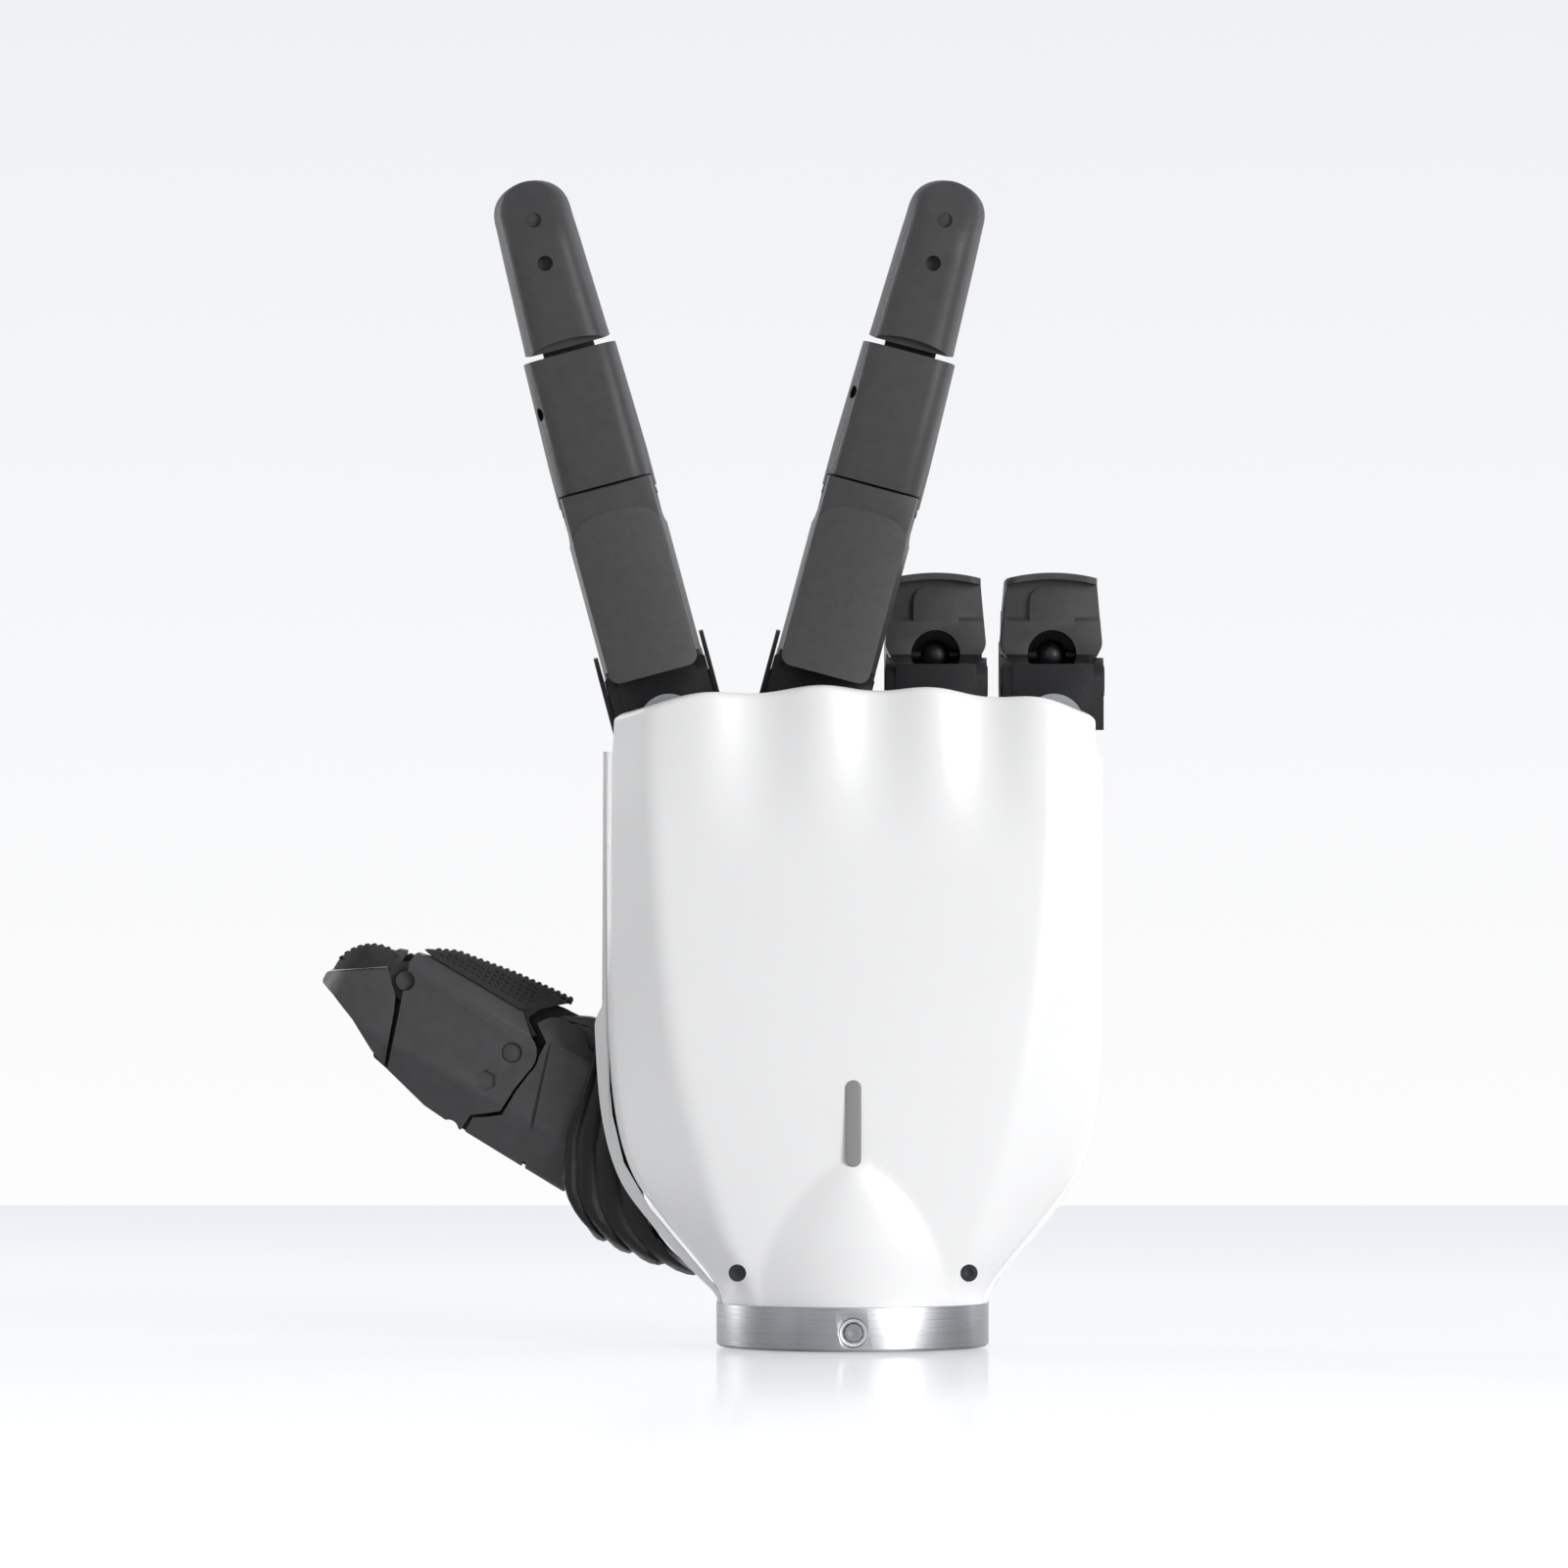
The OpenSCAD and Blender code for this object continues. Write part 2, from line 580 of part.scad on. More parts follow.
// Cross-section of a finger: flat back, slanted sides, drawn-in pad side
crown = 1;
crown_half = half_f - 1.1;
crown_r = (crown_half * crown_half + crown * crown) / (2 * crown);
crown_a = asin(crown_half / crown_r);
crown_arc = arc([0, back_f - crown + crown_r], crown_r, -90 - crown_a, -90 + crown_a, 10);
proximal_section = concat(rounded([[crown_half, back_f, 0], [half_f, -6.5, 3], [half_f - 3.4, 0, 2.5],
                                   [-half_f + 3.4, 0, 2.5], [-half_f, -6.5, 3], [-crown_half, back_f, 0]]),
                          [for (k = [1:len(crown_arc) - 2]) crown_arc[k]]);
crown_arc_section = concat(crown_arc, [[crown_half, 0], [-crown_half, 0]]);
shoulder_y = -11;
heel_step = 1;
proximal_side = rounded([[back_f - crown, heel_z + heel_step, 1.2], [shoulder_y - 0.8, heel_z + heel_step, 0],
                         [shoulder_y, heel_z, 0], [-4, heel_z, 0], [0, 6, 0], [0, medial_z - 5.5, 0],
                         [-12, proximal_len - seam / 4, 0], [back_f - crown, proximal_len - seam / 4, 0.8]]);
// Raised tongue in the middle of the heel
heel_tongue = rounded([[-4.2, shoulder_y + 2, 0], [4.2, shoulder_y + 2, 0], [4, shoulder_y - 6.6, 2.8],
                       [-4, shoulder_y - 6.6, 2.8]]);
heel_slope = [[shoulder_y + 2, heel_z], [shoulder_y - 3.6, heel_z], [shoulder_y - 6.6, heel_z + 0.6],
              [shoulder_y - 6.6, heel_z + 2], [shoulder_y + 2, heel_z + 2]];
cover_half = half_f - 1.7;
cover_z0 = heel_z + 1.8;
cover_z1 = proximal_len - 5.6;
groove = 0.35;
// Outline of the cover plate with its arched top, drawn in by a distance
function cover_outline(inset) = rounded([
    [-cover_half + inset, cover_z0 + inset, 2 - inset],
    [cover_half - inset, cover_z0 + inset, 2 - inset],
    [cover_half - inset, cover_z1 - 2 - inset, 4 - inset],
    [0, cover_z1 + 0.6 - inset, 12],
    [-cover_half + inset, cover_z1 - 2 - inset, 4 - inset]]);
rod_y = -4.9;
rod_bore = 4.5;

module proximal() {
    color(charcoal) difference() {
        union() {
            difference() {
                union() {
                    intersection() {
                        linear_extrude(proximal_len) polygon(proximal_section);
                        slab_x(proximal_side, finger_w);
                    }
                    intersection() {
                        linear_extrude(2 * heel_z) polygon(heel_tongue);
                        slab_x(heel_slope, finger_w);
                    }
                }
                bar_x(heel_r, 2 * finger_w);
                translate([0, medial_y, medial_z]) bar_x(medial_r + 0.5, 2 * finger_w);
            }
            // Lugs on the knuckle's axle
            for (s = [-1, 1]) translate([s * (lug_w - 1.5), 0, 0]) {
                bar_x(lug_r, 3);
                translate([-1.5, -lug_r, 0]) cube([3, 2 * lug_r - 1, heel_r + 2]);
            }
            // Tongue on the medial segment's axle
            translate([0, medial_y, medial_z]) {
                bar_x(tongue_r, tongue_w);
                translate([-tongue_w / 2, -tongue_r, -medial_r - 3]) cube([tongue_w, 2 * tongue_r,
                    medial_r + 3]);
            }
        }
        bar_x(axle_r + pin_gap, 3 * finger_w);
        translate([0, medial_y, medial_z]) bar_x(axle_r + pin_seat, 3 * finger_w);
        // Way in for the push rod
        translate([0, rod_y, 0]) cylinder(r = rod_bore, h = 13);
        // Pocket of the cover plate
        slab_y(cover_outline(0), back_f - 2 * crown, back_f + cover_t);
    }
}

module cover() {
    color("#535353") intersection() {
        slab_y(cover_outline(groove), back_f - 2 * crown, back_f + cover_t);
        linear_extrude(proximal_len) polygon(crown_arc_section);
    }
}

// Ball end of the push rod, held in the heel of the segment
module rod_end() {
    color(metal) translate([0, rod_y, 9]) difference() {
        union() {
            sphere(r = 2.8);
            cylinder(r = 1.6, h = 4);
            bar_x(1, 2 * rod_bore - 0.4);
        }
        bar_y(0.4, -4, 4);
    }
}

module medial_pin() {
    color(metal) translate([0, medial_y, medial_z]) bar_x(axle_r, finger_w - 0.6);
}

// Medial segment, in the frame of its own axle
medial_len_up = medial_len + 1.9;
medial_back = back_f - medial_y;
medial_pad = -pad_side - medial_y - 1;
medial_section = rounded([
    [-half_f + 1.6, medial_back, 3.5], [-half_f, medial_back + 9, 5], [-half_f + 2.6, medial_pad, 3.5],
    [half_f - 2.6, medial_pad, 3.5], [half_f, medial_back + 9, 5], [half_f - 1.6, medial_back, 3.5]], 5);
medial_front = [[-half_f, -medial_r - 1], [half_f, -medial_r - 1], [half_f, 2],
                [medial_top_w / 2, medial_len_up], [-medial_top_w / 2, medial_len_up], [-half_f, 2]];
seam_z = distal_z + 4 - seam / 2;
medial_side = [[medial_back, 1.9 + seam / 4], [-medial_r, 1.9 + seam / 4], [-medial_r, 0], [medial_pad, 0],
               [medial_pad, seam_z - 3.4], [distal_y - 0.8, seam_z], [medial_back, seam_z]];

module medial() {
    color(charcoal) difference() {
        intersection() {
            union() {
                intersection() {
                    translate([0, 0, -medial_r]) linear_extrude(medial_len_up + medial_r)
                        polygon(medial_section);
                    slab_x(medial_side, 2 * finger_w);
                }
                bar_x(medial_r, finger_w - 1);
            }
            slab_y(medial_front, -20, 20);
        }
        // Room for the tongue of the proximal segment
        translate([-tongue_w / 2 - side_gap, -tongue_r - 0.4, -10])
            cube([tongue_w + 2 * side_gap, 30, 10 + tongue_r + 0.4]);
        bar_x(axle_r + pin_gap, 3 * finger_w);
        // Room for the tongue of the distal segment, and the recess over it
        translate([-tongue_w / 2 - side_gap, distal_y - distal_r - 0.5, distal_z - distal_r - 0.5])
            cube([tongue_w + 2 * side_gap, 30, 20]);
        translate([0, distal_y, distal_z]) bar_x(axle_r + pin_seat, 3 * finger_w);
        // Tooling hole in the side
        translate([-half_f + 1.4, medial_back + 3, 17.5]) rotate([0, 0, -30]) bar_y(1.25, -8, 2.5);
    }
}

module distal_pin() {
    color(metal) translate([0, distal_y, distal_z]) bar_x(axle_r, medial_top_w - 0.8);
}

// Distal segment, in the frame of its own axle
distal_up = distal_len + 4;
distal_back = medial_back - distal_y + 0.2;
distal_pad_y = medial_pad - distal_y;
tip_r = tip_w / 2;
distal_z0 = 4 + seam / 2;
distal_front = concat([[-medial_top_w / 2 + 0.2, distal_z0], [medial_top_w / 2 - 0.2, distal_z0]],
                      [for (i = [0:12]) let (a = 90 * i / 12)
                          [tip_r * pow(cos(a), 0.75), distal_up - 7 + 7 * pow(sin(a), 1)]],
                      [for (i = [12:-1:0]) let (a = 90 * i / 12)
                          [-tip_r * pow(cos(a), 0.75), distal_up - 7 + 7 * pow(sin(a), 1)]]);
distal_mid = (distal_back + distal_pad_y) / 2 + 2;
seam_view = 1.6;
arch_r = 22;
arch_rise = 1.6;
ledge_t = 3;
distal_side = concat([[distal_pad_y, distal_z0 + seam_view], [distal_pad_y, distal_up - 12]],
                     arc([distal_pad_y - 9, distal_up - 12], 9, 0, 60, 5),
                     arc([distal_mid - 3, distal_up - 5.5], 5.5, 60, 100, 4),
                     arc([distal_back + 9, distal_up - 14], 9, 140, 180, 4), [[distal_back, distal_z0]]);
distal_section = rounded([[-tip_w / 2 - 1 + 2, distal_back, 4], [-tip_w / 2 - 1, distal_back + 9, 5],
    [-tip_w / 2 + 1.6, distal_pad_y, 4],
                          [tip_w / 2 - 1.6, distal_pad_y, 4], [tip_w / 2 + 1, distal_back + 9, 5],
                              [tip_w / 2 + 1 - 2, distal_back, 4]], 5);
pad_half = tip_w / 2 - 2.6;
pad_z0 = distal_z0 + 4;
pad_z1 = distal_up - 9;
pad_outline = rounded([[-pad_half, pad_z0, 2], [pad_half, pad_z0, 2], [pad_half, pad_z1, 4], [-pad_half,
    pad_z1, 4]]);
pad_t = 1.5;

module distal() {
    color(charcoal) difference() {
        union() {
            intersection() {
                linear_extrude(distal_up) polygon(distal_section);
                slab_y(distal_front, -30, 30);
                slab_x(distal_side, 2 * finger_w);
            }
            bar_x(distal_r, tongue_w);
            translate([-tongue_w / 2, -distal_r, 0]) cube([tongue_w, 2 * distal_r, distal_z0 + 1]);
        }
        bar_x(axle_r + pin_gap, 3 * finger_w);
        slab_y(pad_outline, distal_pad_y - pad_t, distal_pad_y + 4);
        // The edge on the back arches over a recessed ledge
        translate([0, distal_back - 1, distal_z0 + arch_rise - arch_r]) bar_y(arch_r, -1, ledge_t);
        for (z = [distal_up - 7.5, distal_up - 15.7]) translate([0, distal_back, z]) bar_y(1.45, -4, 1.2);
    }
}

module pad() {
    color(dark) slab_y(pad_outline, distal_pad_y - pad_t, distal_pad_y + 0.3);
}

// ---- boot and thumb, in the thumb's frame: +X out along the thumb, +Z towards its pads, +Y to the back ----

// The boot's rings by their place from the outermost (0) to the innermost (1): both ends of each ring
boot_top_a = [[0, 18.2], [1, 13]];
boot_top_h = [[0, 9.2], [1, 10.4]];
boot_foot_a = [[0, 0.6], [0.33, -4.4], [0.67, -11.9], [1, -19.6]];
boot_foot_h = [[0, -22.7], [0.33, -22.5], [0.67, -21.6], [1, -19.7]];
boot_bow = 5.7;
boot_wall = 1;
boot_core = boot_w / 2 - boot_rib;
// Height of a rib along its own width
rib_shape = [[0, 0], [0.22, 0.8], [0.5, 1], [0.78, 0.8]];
boot_rows = concat([for (k = [0:boot_ribs - 1]) each [for (r = rib_shape) [(k + r[0]) / boot_ribs,
    r[1]]]], [[1, 0]]);
boot_cols = 28;
function squarish(v) = sign(v) * sqrt(abs(v));
function boot_point(u, d, a) =
    let (p = [smooth(boot_top_a, u), smooth(boot_top_h, u)], q = [smooth(boot_foot_a, u),
        smooth(boot_foot_h, u)],
         l = norm(q - p), e = (q - p) / l, m = l / 2 + 1.8 * d, s = 0.5 + m * squarish(cos(a)) / l,
         f = min(1, max(0, s)), bow = boot_bow * 6.75 * f * f * (1 - f),
         c = p + e * s * l + [-e[1], e[0]] * bow)
    [c[0], (boot_core + d) * squarish(sin(a)), c[1]];
function boot_loop(u, d) = [for (j = [0:boot_cols - 1]) boot_point(u, d, 360 * j / boot_cols)];

// Tube between two grids of closed rows, an outer and an inner one
module tube_between(outer, inner) {
    rows = len(outer);
    cols = len(outer[0]);
    n = rows * cols;
    points = concat([for (r = outer) each r], [for (r = inner) each r]);
    faces = [for (i = [0:rows - 2]) for (j = [0:cols - 1])
        let (a = i * cols + j, b = i * cols + (j + 1) % cols, c = n + a, d = n + b)
        each [[a, b, a + cols], [b, b + cols, a + cols], [c, c + cols, d], [d, c + cols, d + cols]]];
    ends = [for (j = [0:cols - 1]) let (k = (j + 1) % cols, t = (rows - 1) * cols)
        each [[j, n + j, k], [k, n + j, n + k], [t + j, t + k, n + t + j], [t + k, n + t + k, n + t + j]]];
    polyhedron(points, concat(faces, ends));
}

half_t = thumb_w / 2;
base_pivot = [29.9, -1.4];
tip_pivot = [53.5, 0.2];
eye_r = 5;
eye_half = 5;
joint_r = 4.6;
joint_half = 3;
tip_eye_r = 3.5;
tip_cheek = 2.8;
thumb_seam = 0.4;
base_outline = concat(arc([0, 0], eye_r + 2.2, -75, 50, 8),
                      [[12, 5.8], [18, 6.2], [20.2, 8.6], [25.1, 8.8], [27.2, 7.6], [28.6, 5.6], [25.4,
                          3.4]], arc(base_pivot, joint_r + thumb_seam, 160, 200, 4),
                      [[25.7, -7], [25.8, -12.2], [28, -14], [30.2, -15.4], [30.2, -18.4], [16, -18.8],
                          [9, -19]]);
medial_outline = concat(arc(base_pivot, joint_r, 200, 110, 6),
                        [[32, 6.2], [51, 6.4], [54.3, 5.6], [54.5, 3.6], [52.6, -2.4], [51.6, -5.2],
                            [48.2, -15.6], [39, -18], [31, -18.6], [30.8, -15.2], [28.4, -13.4], [26.4,
                                -11.8], [26.2, -7]]);
distal_outline = [[57.4, 0.6], [53.6, -3.2], [52.4, -5.8], [49, -15.4], [52.6, -14], [58.3, -10.8], [63.6,
    -8.7], [66.6, -7.8], [67.4, -6.6], [66.8, -5.6]];
tip_pad_outline = concat([[57.6, 0.8], [66.6, -5.2]], arc([58.6, -4], 7.6, -6, 88, 7), [[56.6, 4.2], [57,
    2.4]]);

// Web of the base behind the seam, and the slot of the middle segment that it turns in
web_outline = [[24, base_pivot[1] - 2], [base_pivot[0], base_pivot[1] - 3], [29.6, -7], [31, -12.4],
               [31.8, -17], [24, -17.6]];
web_slot = [[24, -20], [36, -20], [36, -12], [33.4, -4.6], [base_pivot[0], base_pivot[1]],
            [24, base_pivot[1]]];

// Hexagonal socket and round dent of the middle segment
hex_at = [31.5, -8.2];
dent_at = [33, -19.6];

// The thumb's slanted cross-section, in [y, z]
thumb_reach = 5 * thumb_w;
thumb_section = rounded([[-half_t, -11, 2], [-half_t, 3, 2], [-half_t + 3.4, 9, 1], [half_t - 3.4, 9, 1],
                         [half_t, 3, 2], [half_t, -11, 2], [4.6, -19, 2], [-4.6, -19, 2]]);
// Plate in the thumb's plane, cut to its cross-section
module thumb_plate(pts) {
    intersection() {
        slab_y(pts, -half_t, half_t);
        rotate([90, 0, 90]) linear_extrude(thumb_reach) polygon(thumb_section);
    }
}
module at_base_pivot() { translate([base_pivot[0], 0, base_pivot[1]]) children(); }
module at_tip_pivot() { translate([tip_pivot[0], 0, tip_pivot[1]]) children(); }

// Turret that swings the thumb from the side to the front of the palm
module thumb_swivel() {
    color(dark) difference() {
        union() {
            translate([turret_x, thumb_y, turret_z0]) cylinder(r = turret_r, h = turret_z1 - turret_z0);
            translate([bend_x, thumb_y, bend_z]) bar_y(eye_r + 1.5, -half_t, half_t);
            translate([bend_x, thumb_y - half_t, bend_z - eye_r - 1.5])
                cube([turret_x - bend_x, thumb_w, 2 * eye_r + 3]);
        }
        translate([turret_x, thumb_y, 0]) cylinder(r = swivel_pin_r + pin_gap, h = 2 * turret_z1);
        translate([bend_x, thumb_y, bend_z]) {
            bar_y(thumb_axle_r + pin_seat, -thumb_w, thumb_w);
            bar_y(eye_r + 2.6, -eye_half - side_gap, eye_half + side_gap);
            translate([-20, -eye_half - side_gap, -eye_r - 2.6])
                cube([20, 2 * (eye_half + side_gap), 2 * eye_r + 5.2]);
        }
    }
}

module thumb_bend_pin() {
    color(metal) translate([bend_x, thumb_y, bend_z]) bar_y(thumb_axle_r, -half_t, half_t);
}

module thumb_base() {
    color(charcoal) thumb_frame() difference() {
        union() {
            thumb_plate(base_outline);
            bar_y(eye_r, -eye_half, eye_half);
            translate([0, -eye_half, -eye_r + 0.5]) cube([12, 2 * eye_half, 2 * eye_r - 1]);
            at_base_pivot() bar_y(joint_r - 0.6, -joint_half, joint_half);
            translate([20, -joint_half, base_pivot[1] - 3.4]) cube([base_pivot[0] - 20, 2 * joint_half, 6.4]);
            slab_y(web_outline, -joint_half, joint_half);
        }
        bar_y(thumb_axle_r + pin_gap, -thumb_w, thumb_w);
        at_base_pivot() bar_y(thumb_axle_r + pin_seat, -thumb_w, thumb_w);
        // Seam groove round the metacarpal
        difference() {
            translate([17.3, 0, -18.6]) rotate([0, 18, 0]) translate([0, -20, -4]) cube([0.7, 40, 40]);
            translate([0, -half_t + 0.6, -17.8]) cube([40, thumb_w - 1.2, 40]);
        }
    }
}

module thumb_medial_pin() {
    color(metal) thumb_frame() at_base_pivot() bar_y(thumb_axle_r, -half_t + 0.6, half_t - 0.6);
}

module thumb_medial() {
    color(charcoal) thumb_frame() difference() {
        union() {
            thumb_plate(medial_outline);
            at_tip_pivot() bar_y(joint_r - 1, -joint_half, joint_half);
        }
        at_base_pivot() {
            bar_y(thumb_axle_r + pin_gap, -thumb_w, thumb_w);
            bar_y(joint_r - 0.2, -joint_half - side_gap, joint_half + side_gap);
            translate([-10, -joint_half - side_gap, -5]) cube([10, 2 * (joint_half + side_gap), 10]);
        }
        slab_y(web_slot, -joint_half - side_gap, joint_half + side_gap);
        at_tip_pivot() bar_y(thumb_axle_r + pin_seat, -thumb_w, thumb_w);
        at_tip_pivot() for (s = [-1, 1]) translate([0, s * (joint_half + side_gap + tip_cheek / 2), 0]) {
            bar_y(tip_eye_r + 0.4, -tip_cheek / 2 - side_gap, tip_cheek / 2 + side_gap);
            translate([0, -tip_cheek / 2 - side_gap, -7]) cube([12, tip_cheek + 2 * side_gap, 20]);
        }
        translate([hex_at[0], half_t - 0.6, hex_at[1]]) rotate([-90, 0, 0]) cylinder(r = 2, h = 3, $fn = 6);
        translate([dent_at[0], 0, dent_at[1]]) bar_y(1.8, -thumb_w, thumb_w);
    }
}

// The pad of the middle segment reaches back over the base; its two sides differ in height
pad_outline_side = [[22.4, 11.2], [28.6, 11.2], [30.4, 8], [32.4, 6.25], [51, 6.45], [53.3, 6.9],
                    [48, 9.4], [44.2, 10], [37.1, 11.2], [29.8, 12], [24.4, 12.4], [22.4, 12.2]];
thumb_pad_section = rounded([[-7.6, 6, 0], [7.6, 6, 0], [7.2, 7.4, 0.5], [4, 12.4, 1], [-6.4, 12.4, 1]]);
module thumb_medial_pad() {
    color(dark) thumb_frame() intersection() {
        rotate([90, 0, 90]) linear_extrude(thumb_reach) polygon(thumb_pad_section);
        slab_y(pad_outline_side, -thumb_w, thumb_w);
    }
}

module thumb_distal_pin() {
    color(metal) thumb_frame() at_tip_pivot() bar_y(thumb_axle_r, -half_t + 1.4, half_t - 1.4);
}

tip_section = rounded([[-half_t + 0.6, -11, 3], [-half_t + 0.8, 2, 3], [-4, 5, 2], [4, 5, 2],
                       [half_t - 0.8, 2, 3], [half_t - 0.6, -11, 3], [4.2, -17, 2], [-4.2, -17, 2]]);
// Seen from its pads the tip narrows in a round end
tip_plan = concat([[40, -20], [56, -half_t]], arc([58, 0], half_t, -80, 80, 12), [[56, half_t], [40, 20]]);
module tip_plate(pts) {
    intersection() {
        slab_y(pts, -half_t, half_t);
        rotate([90, 0, 90]) linear_extrude(thumb_reach) polygon(tip_section);
        translate([0, 0, -20]) linear_extrude(40) polygon(tip_plan);
    }
}

module thumb_distal() {
    color(charcoal) thumb_frame() difference() {
        union() {
            tip_plate(distal_outline);
            at_tip_pivot() for (s = [-1, 1]) translate([0, s * (joint_half + side_gap + tip_cheek / 2), 0]) {
                bar_y(tip_eye_r, -tip_cheek / 2, tip_cheek / 2);
                slab_y([[0, -tip_eye_r], [3, -6], [3.8, -1.6], [0, tip_eye_r]], -tip_cheek / 2,
                    tip_cheek / 2);
            }
        }
        at_tip_pivot() {
            bar_y(thumb_axle_r + pin_gap, -thumb_w, thumb_w);
            bar_y(joint_r - 1 + side_gap, -joint_half - side_gap, joint_half + side_gap);
        }
    }
}

module thumb_distal_pad() {
    color(dark) thumb_frame() tip_plate(tip_pad_outline);
}

module thumb_boot() {
    color(black) thumb_frame() tube_between(
        [for (r = boot_rows) boot_loop(r[0], r[1] * boot_rib)],
        [for (r = boot_rows) boot_loop(r[0], -boot_wall)]);
}

// ---- drawing, one node at a time ----

wrist_flange();
dorsal_shell();
palm_shell();
palm_pad();
chassis();
screws();
status_light();
controller_board();
actuators();
pivot_pins();
thumb_boot();
thumb_swivel();
thumb_bend_pin();
thumb_base();
thumb_medial_pin();
thumb_medial();
thumb_medial_pad();
thumb_distal_pin();
thumb_distal();
thumb_distal_pad();
for (i = [0:3]) {
    f = FINGERS[i];
    knuckle_frame(i) knuckle(plate_sides[i]);
    knuckle_frame(i) knuckle_pin();
    proximal_frame(i) proximal();
    proximal_frame(i) cover();
    proximal_frame(i) rod_end();
    proximal_frame(i) medial_pin();
    medial_frame(i) medial();
    medial_frame(i) distal_pin();
    distal_frame(i) distal();
    distal_frame(i) pad();
}
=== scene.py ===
"""Dress of a dexterous robot hand: moulded shells, grained covers, rubber boot and pads, turned ring and a studio.

Lengths inside the script are metres unless a name ends in _mm.
"""
import json
import math

import bmesh
import bpy
from mathutils import Matrix, Vector


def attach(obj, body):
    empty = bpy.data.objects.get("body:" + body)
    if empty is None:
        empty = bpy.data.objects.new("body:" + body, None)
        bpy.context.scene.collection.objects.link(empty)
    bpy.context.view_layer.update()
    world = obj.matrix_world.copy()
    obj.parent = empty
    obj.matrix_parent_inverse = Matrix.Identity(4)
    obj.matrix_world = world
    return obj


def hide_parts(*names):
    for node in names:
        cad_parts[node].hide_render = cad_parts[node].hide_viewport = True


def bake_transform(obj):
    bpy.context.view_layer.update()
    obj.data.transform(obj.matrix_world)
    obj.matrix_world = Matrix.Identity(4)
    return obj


bl_info = {
    "name": "Dexterous Hand Dresser",
    "version": (1, 0, 0),
    "blender": (4, 5, 0),
    "location": "View3D > Sidebar > Hand",
    "description": "Dresses the jointed robot hand with moulded shells, grained covers and a studio",
    "category": "Object",
}

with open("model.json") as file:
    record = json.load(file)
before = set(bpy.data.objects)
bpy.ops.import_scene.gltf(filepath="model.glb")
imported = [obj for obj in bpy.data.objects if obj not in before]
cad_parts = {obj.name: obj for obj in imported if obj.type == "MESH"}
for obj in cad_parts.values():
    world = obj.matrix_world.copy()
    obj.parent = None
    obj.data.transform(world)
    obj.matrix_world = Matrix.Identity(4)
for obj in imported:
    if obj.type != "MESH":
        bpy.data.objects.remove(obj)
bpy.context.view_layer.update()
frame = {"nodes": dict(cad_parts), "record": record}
MM = 0.001
FINGERS = ("index", "middle", "ring", "pinky")
BODY_OF = {n: b for b, ns in frame["record"]["behaviour"]["bodies"].items() for n in ns}


# ---------------------------------------------------------------- small helpers

def linear(hex_text):
    """sRGB hex colour as a linear RGBA tuple."""
    out = []
    for i in (1, 3, 5):
        c = int(hex_text[i:i + 2], 16) / 255
        out.append(c / 12.92 if c <= 0.04045 else ((c + 0.055) / 1.055) ** 2.4)
    return (*out, 1.0)


def smoothstep(x):
    s = min(1.0, max(0.0, x))
    return s * s * (3 - 2 * s)


def lerp(a, b, t):
    return a + (b - a) * t


def table_value(table, x):
    """Smooth curve through (position, value) rows, flat at both ends."""
    i = 0
    while i < len(table) - 2 and x >= table[i + 1][0]:
        i += 1
    (x0, y0), (x1, y1) = table[i], table[i + 1]
    h = x1 - x0

    def slope(k):
        if k <= 0 or k >= len(table) - 1:
            return 0.0
        return (table[k + 1][1] - table[k - 1][1]) / (table[k + 1][0] - table[k - 1][0])

    s = min(1.0, max(0.0, (x - x0) / h))
    return (y0 * (1 + 2 * s) * (1 - s) ** 2 + slope(i) * h * s * (1 - s) ** 2
            + y1 * s * s * (3 - 2 * s) + slope(i + 1) * h * s * s * (s - 1))


def add_node(tree, kind, settings=None, links=None):
    """Adds one shader node: settings by attribute or input name, links as {input: output socket}."""
    node = tree.nodes.new(kind)
    for key, value in (settings or {}).items():
        if isinstance(key, str) and hasattr(node, key) and key not in node.inputs:
            setattr(node, key, value)
        else:
            node.inputs[key].default_value = value
    for key, socket in (links or {}).items():
        tree.links.new(socket, node.inputs[key])
    return node


def new_object(name, bm, smooth_angle=35):
    """Mesh object from a bmesh, smooth shaded with sharp edges kept above an angle."""
    bmesh.ops.recalc_face_normals(bm, faces=bm.faces)
    mesh = bpy.data.meshes.new(name)
    bm.to_mesh(mesh)
    bm.free()
    obj = bpy.data.objects.new(name, mesh)
    bpy.context.scene.collection.objects.link(obj)
    shade(obj, smooth_angle)
    return obj


def shade(obj, smooth_angle):
    mesh = obj.data
    mesh.polygons.foreach_set("use_smooth", [True] * len(mesh.polygons))
    mesh.set_sharp_from_angle(angle=math.radians(smooth_angle))


def grid_faces(bm, rows, close_u=False):
    """Faces between rows of vertices; close_u joins each row's ends."""
    for a, b in zip(rows, rows[1:]):
        n = len(a)
        for j in range(n if close_u else n - 1):
            k = (j + 1) % n
            bm.faces.new((a[j], a[k], b[k], b[j]))


def dress(obj, material, node=None, body=None, replaces=()):
    """Gives a piece its material, slot and body, and hides the nodes that it stands for."""
    obj.data.materials.clear()
    obj.data.materials.append(material)
    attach(obj, body or BODY_OF[node or replaces[0]])
    if replaces:
        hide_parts(*replaces)
    return obj


def run_modifiers(obj):
    """Turns the modifiers of an object into its mesh."""
    depsgraph = bpy.context.evaluated_depsgraph_get()
    mesh = bpy.data.meshes.new_from_object(obj.evaluated_get(depsgraph))
    obj.modifiers.clear()
    obj.data = mesh


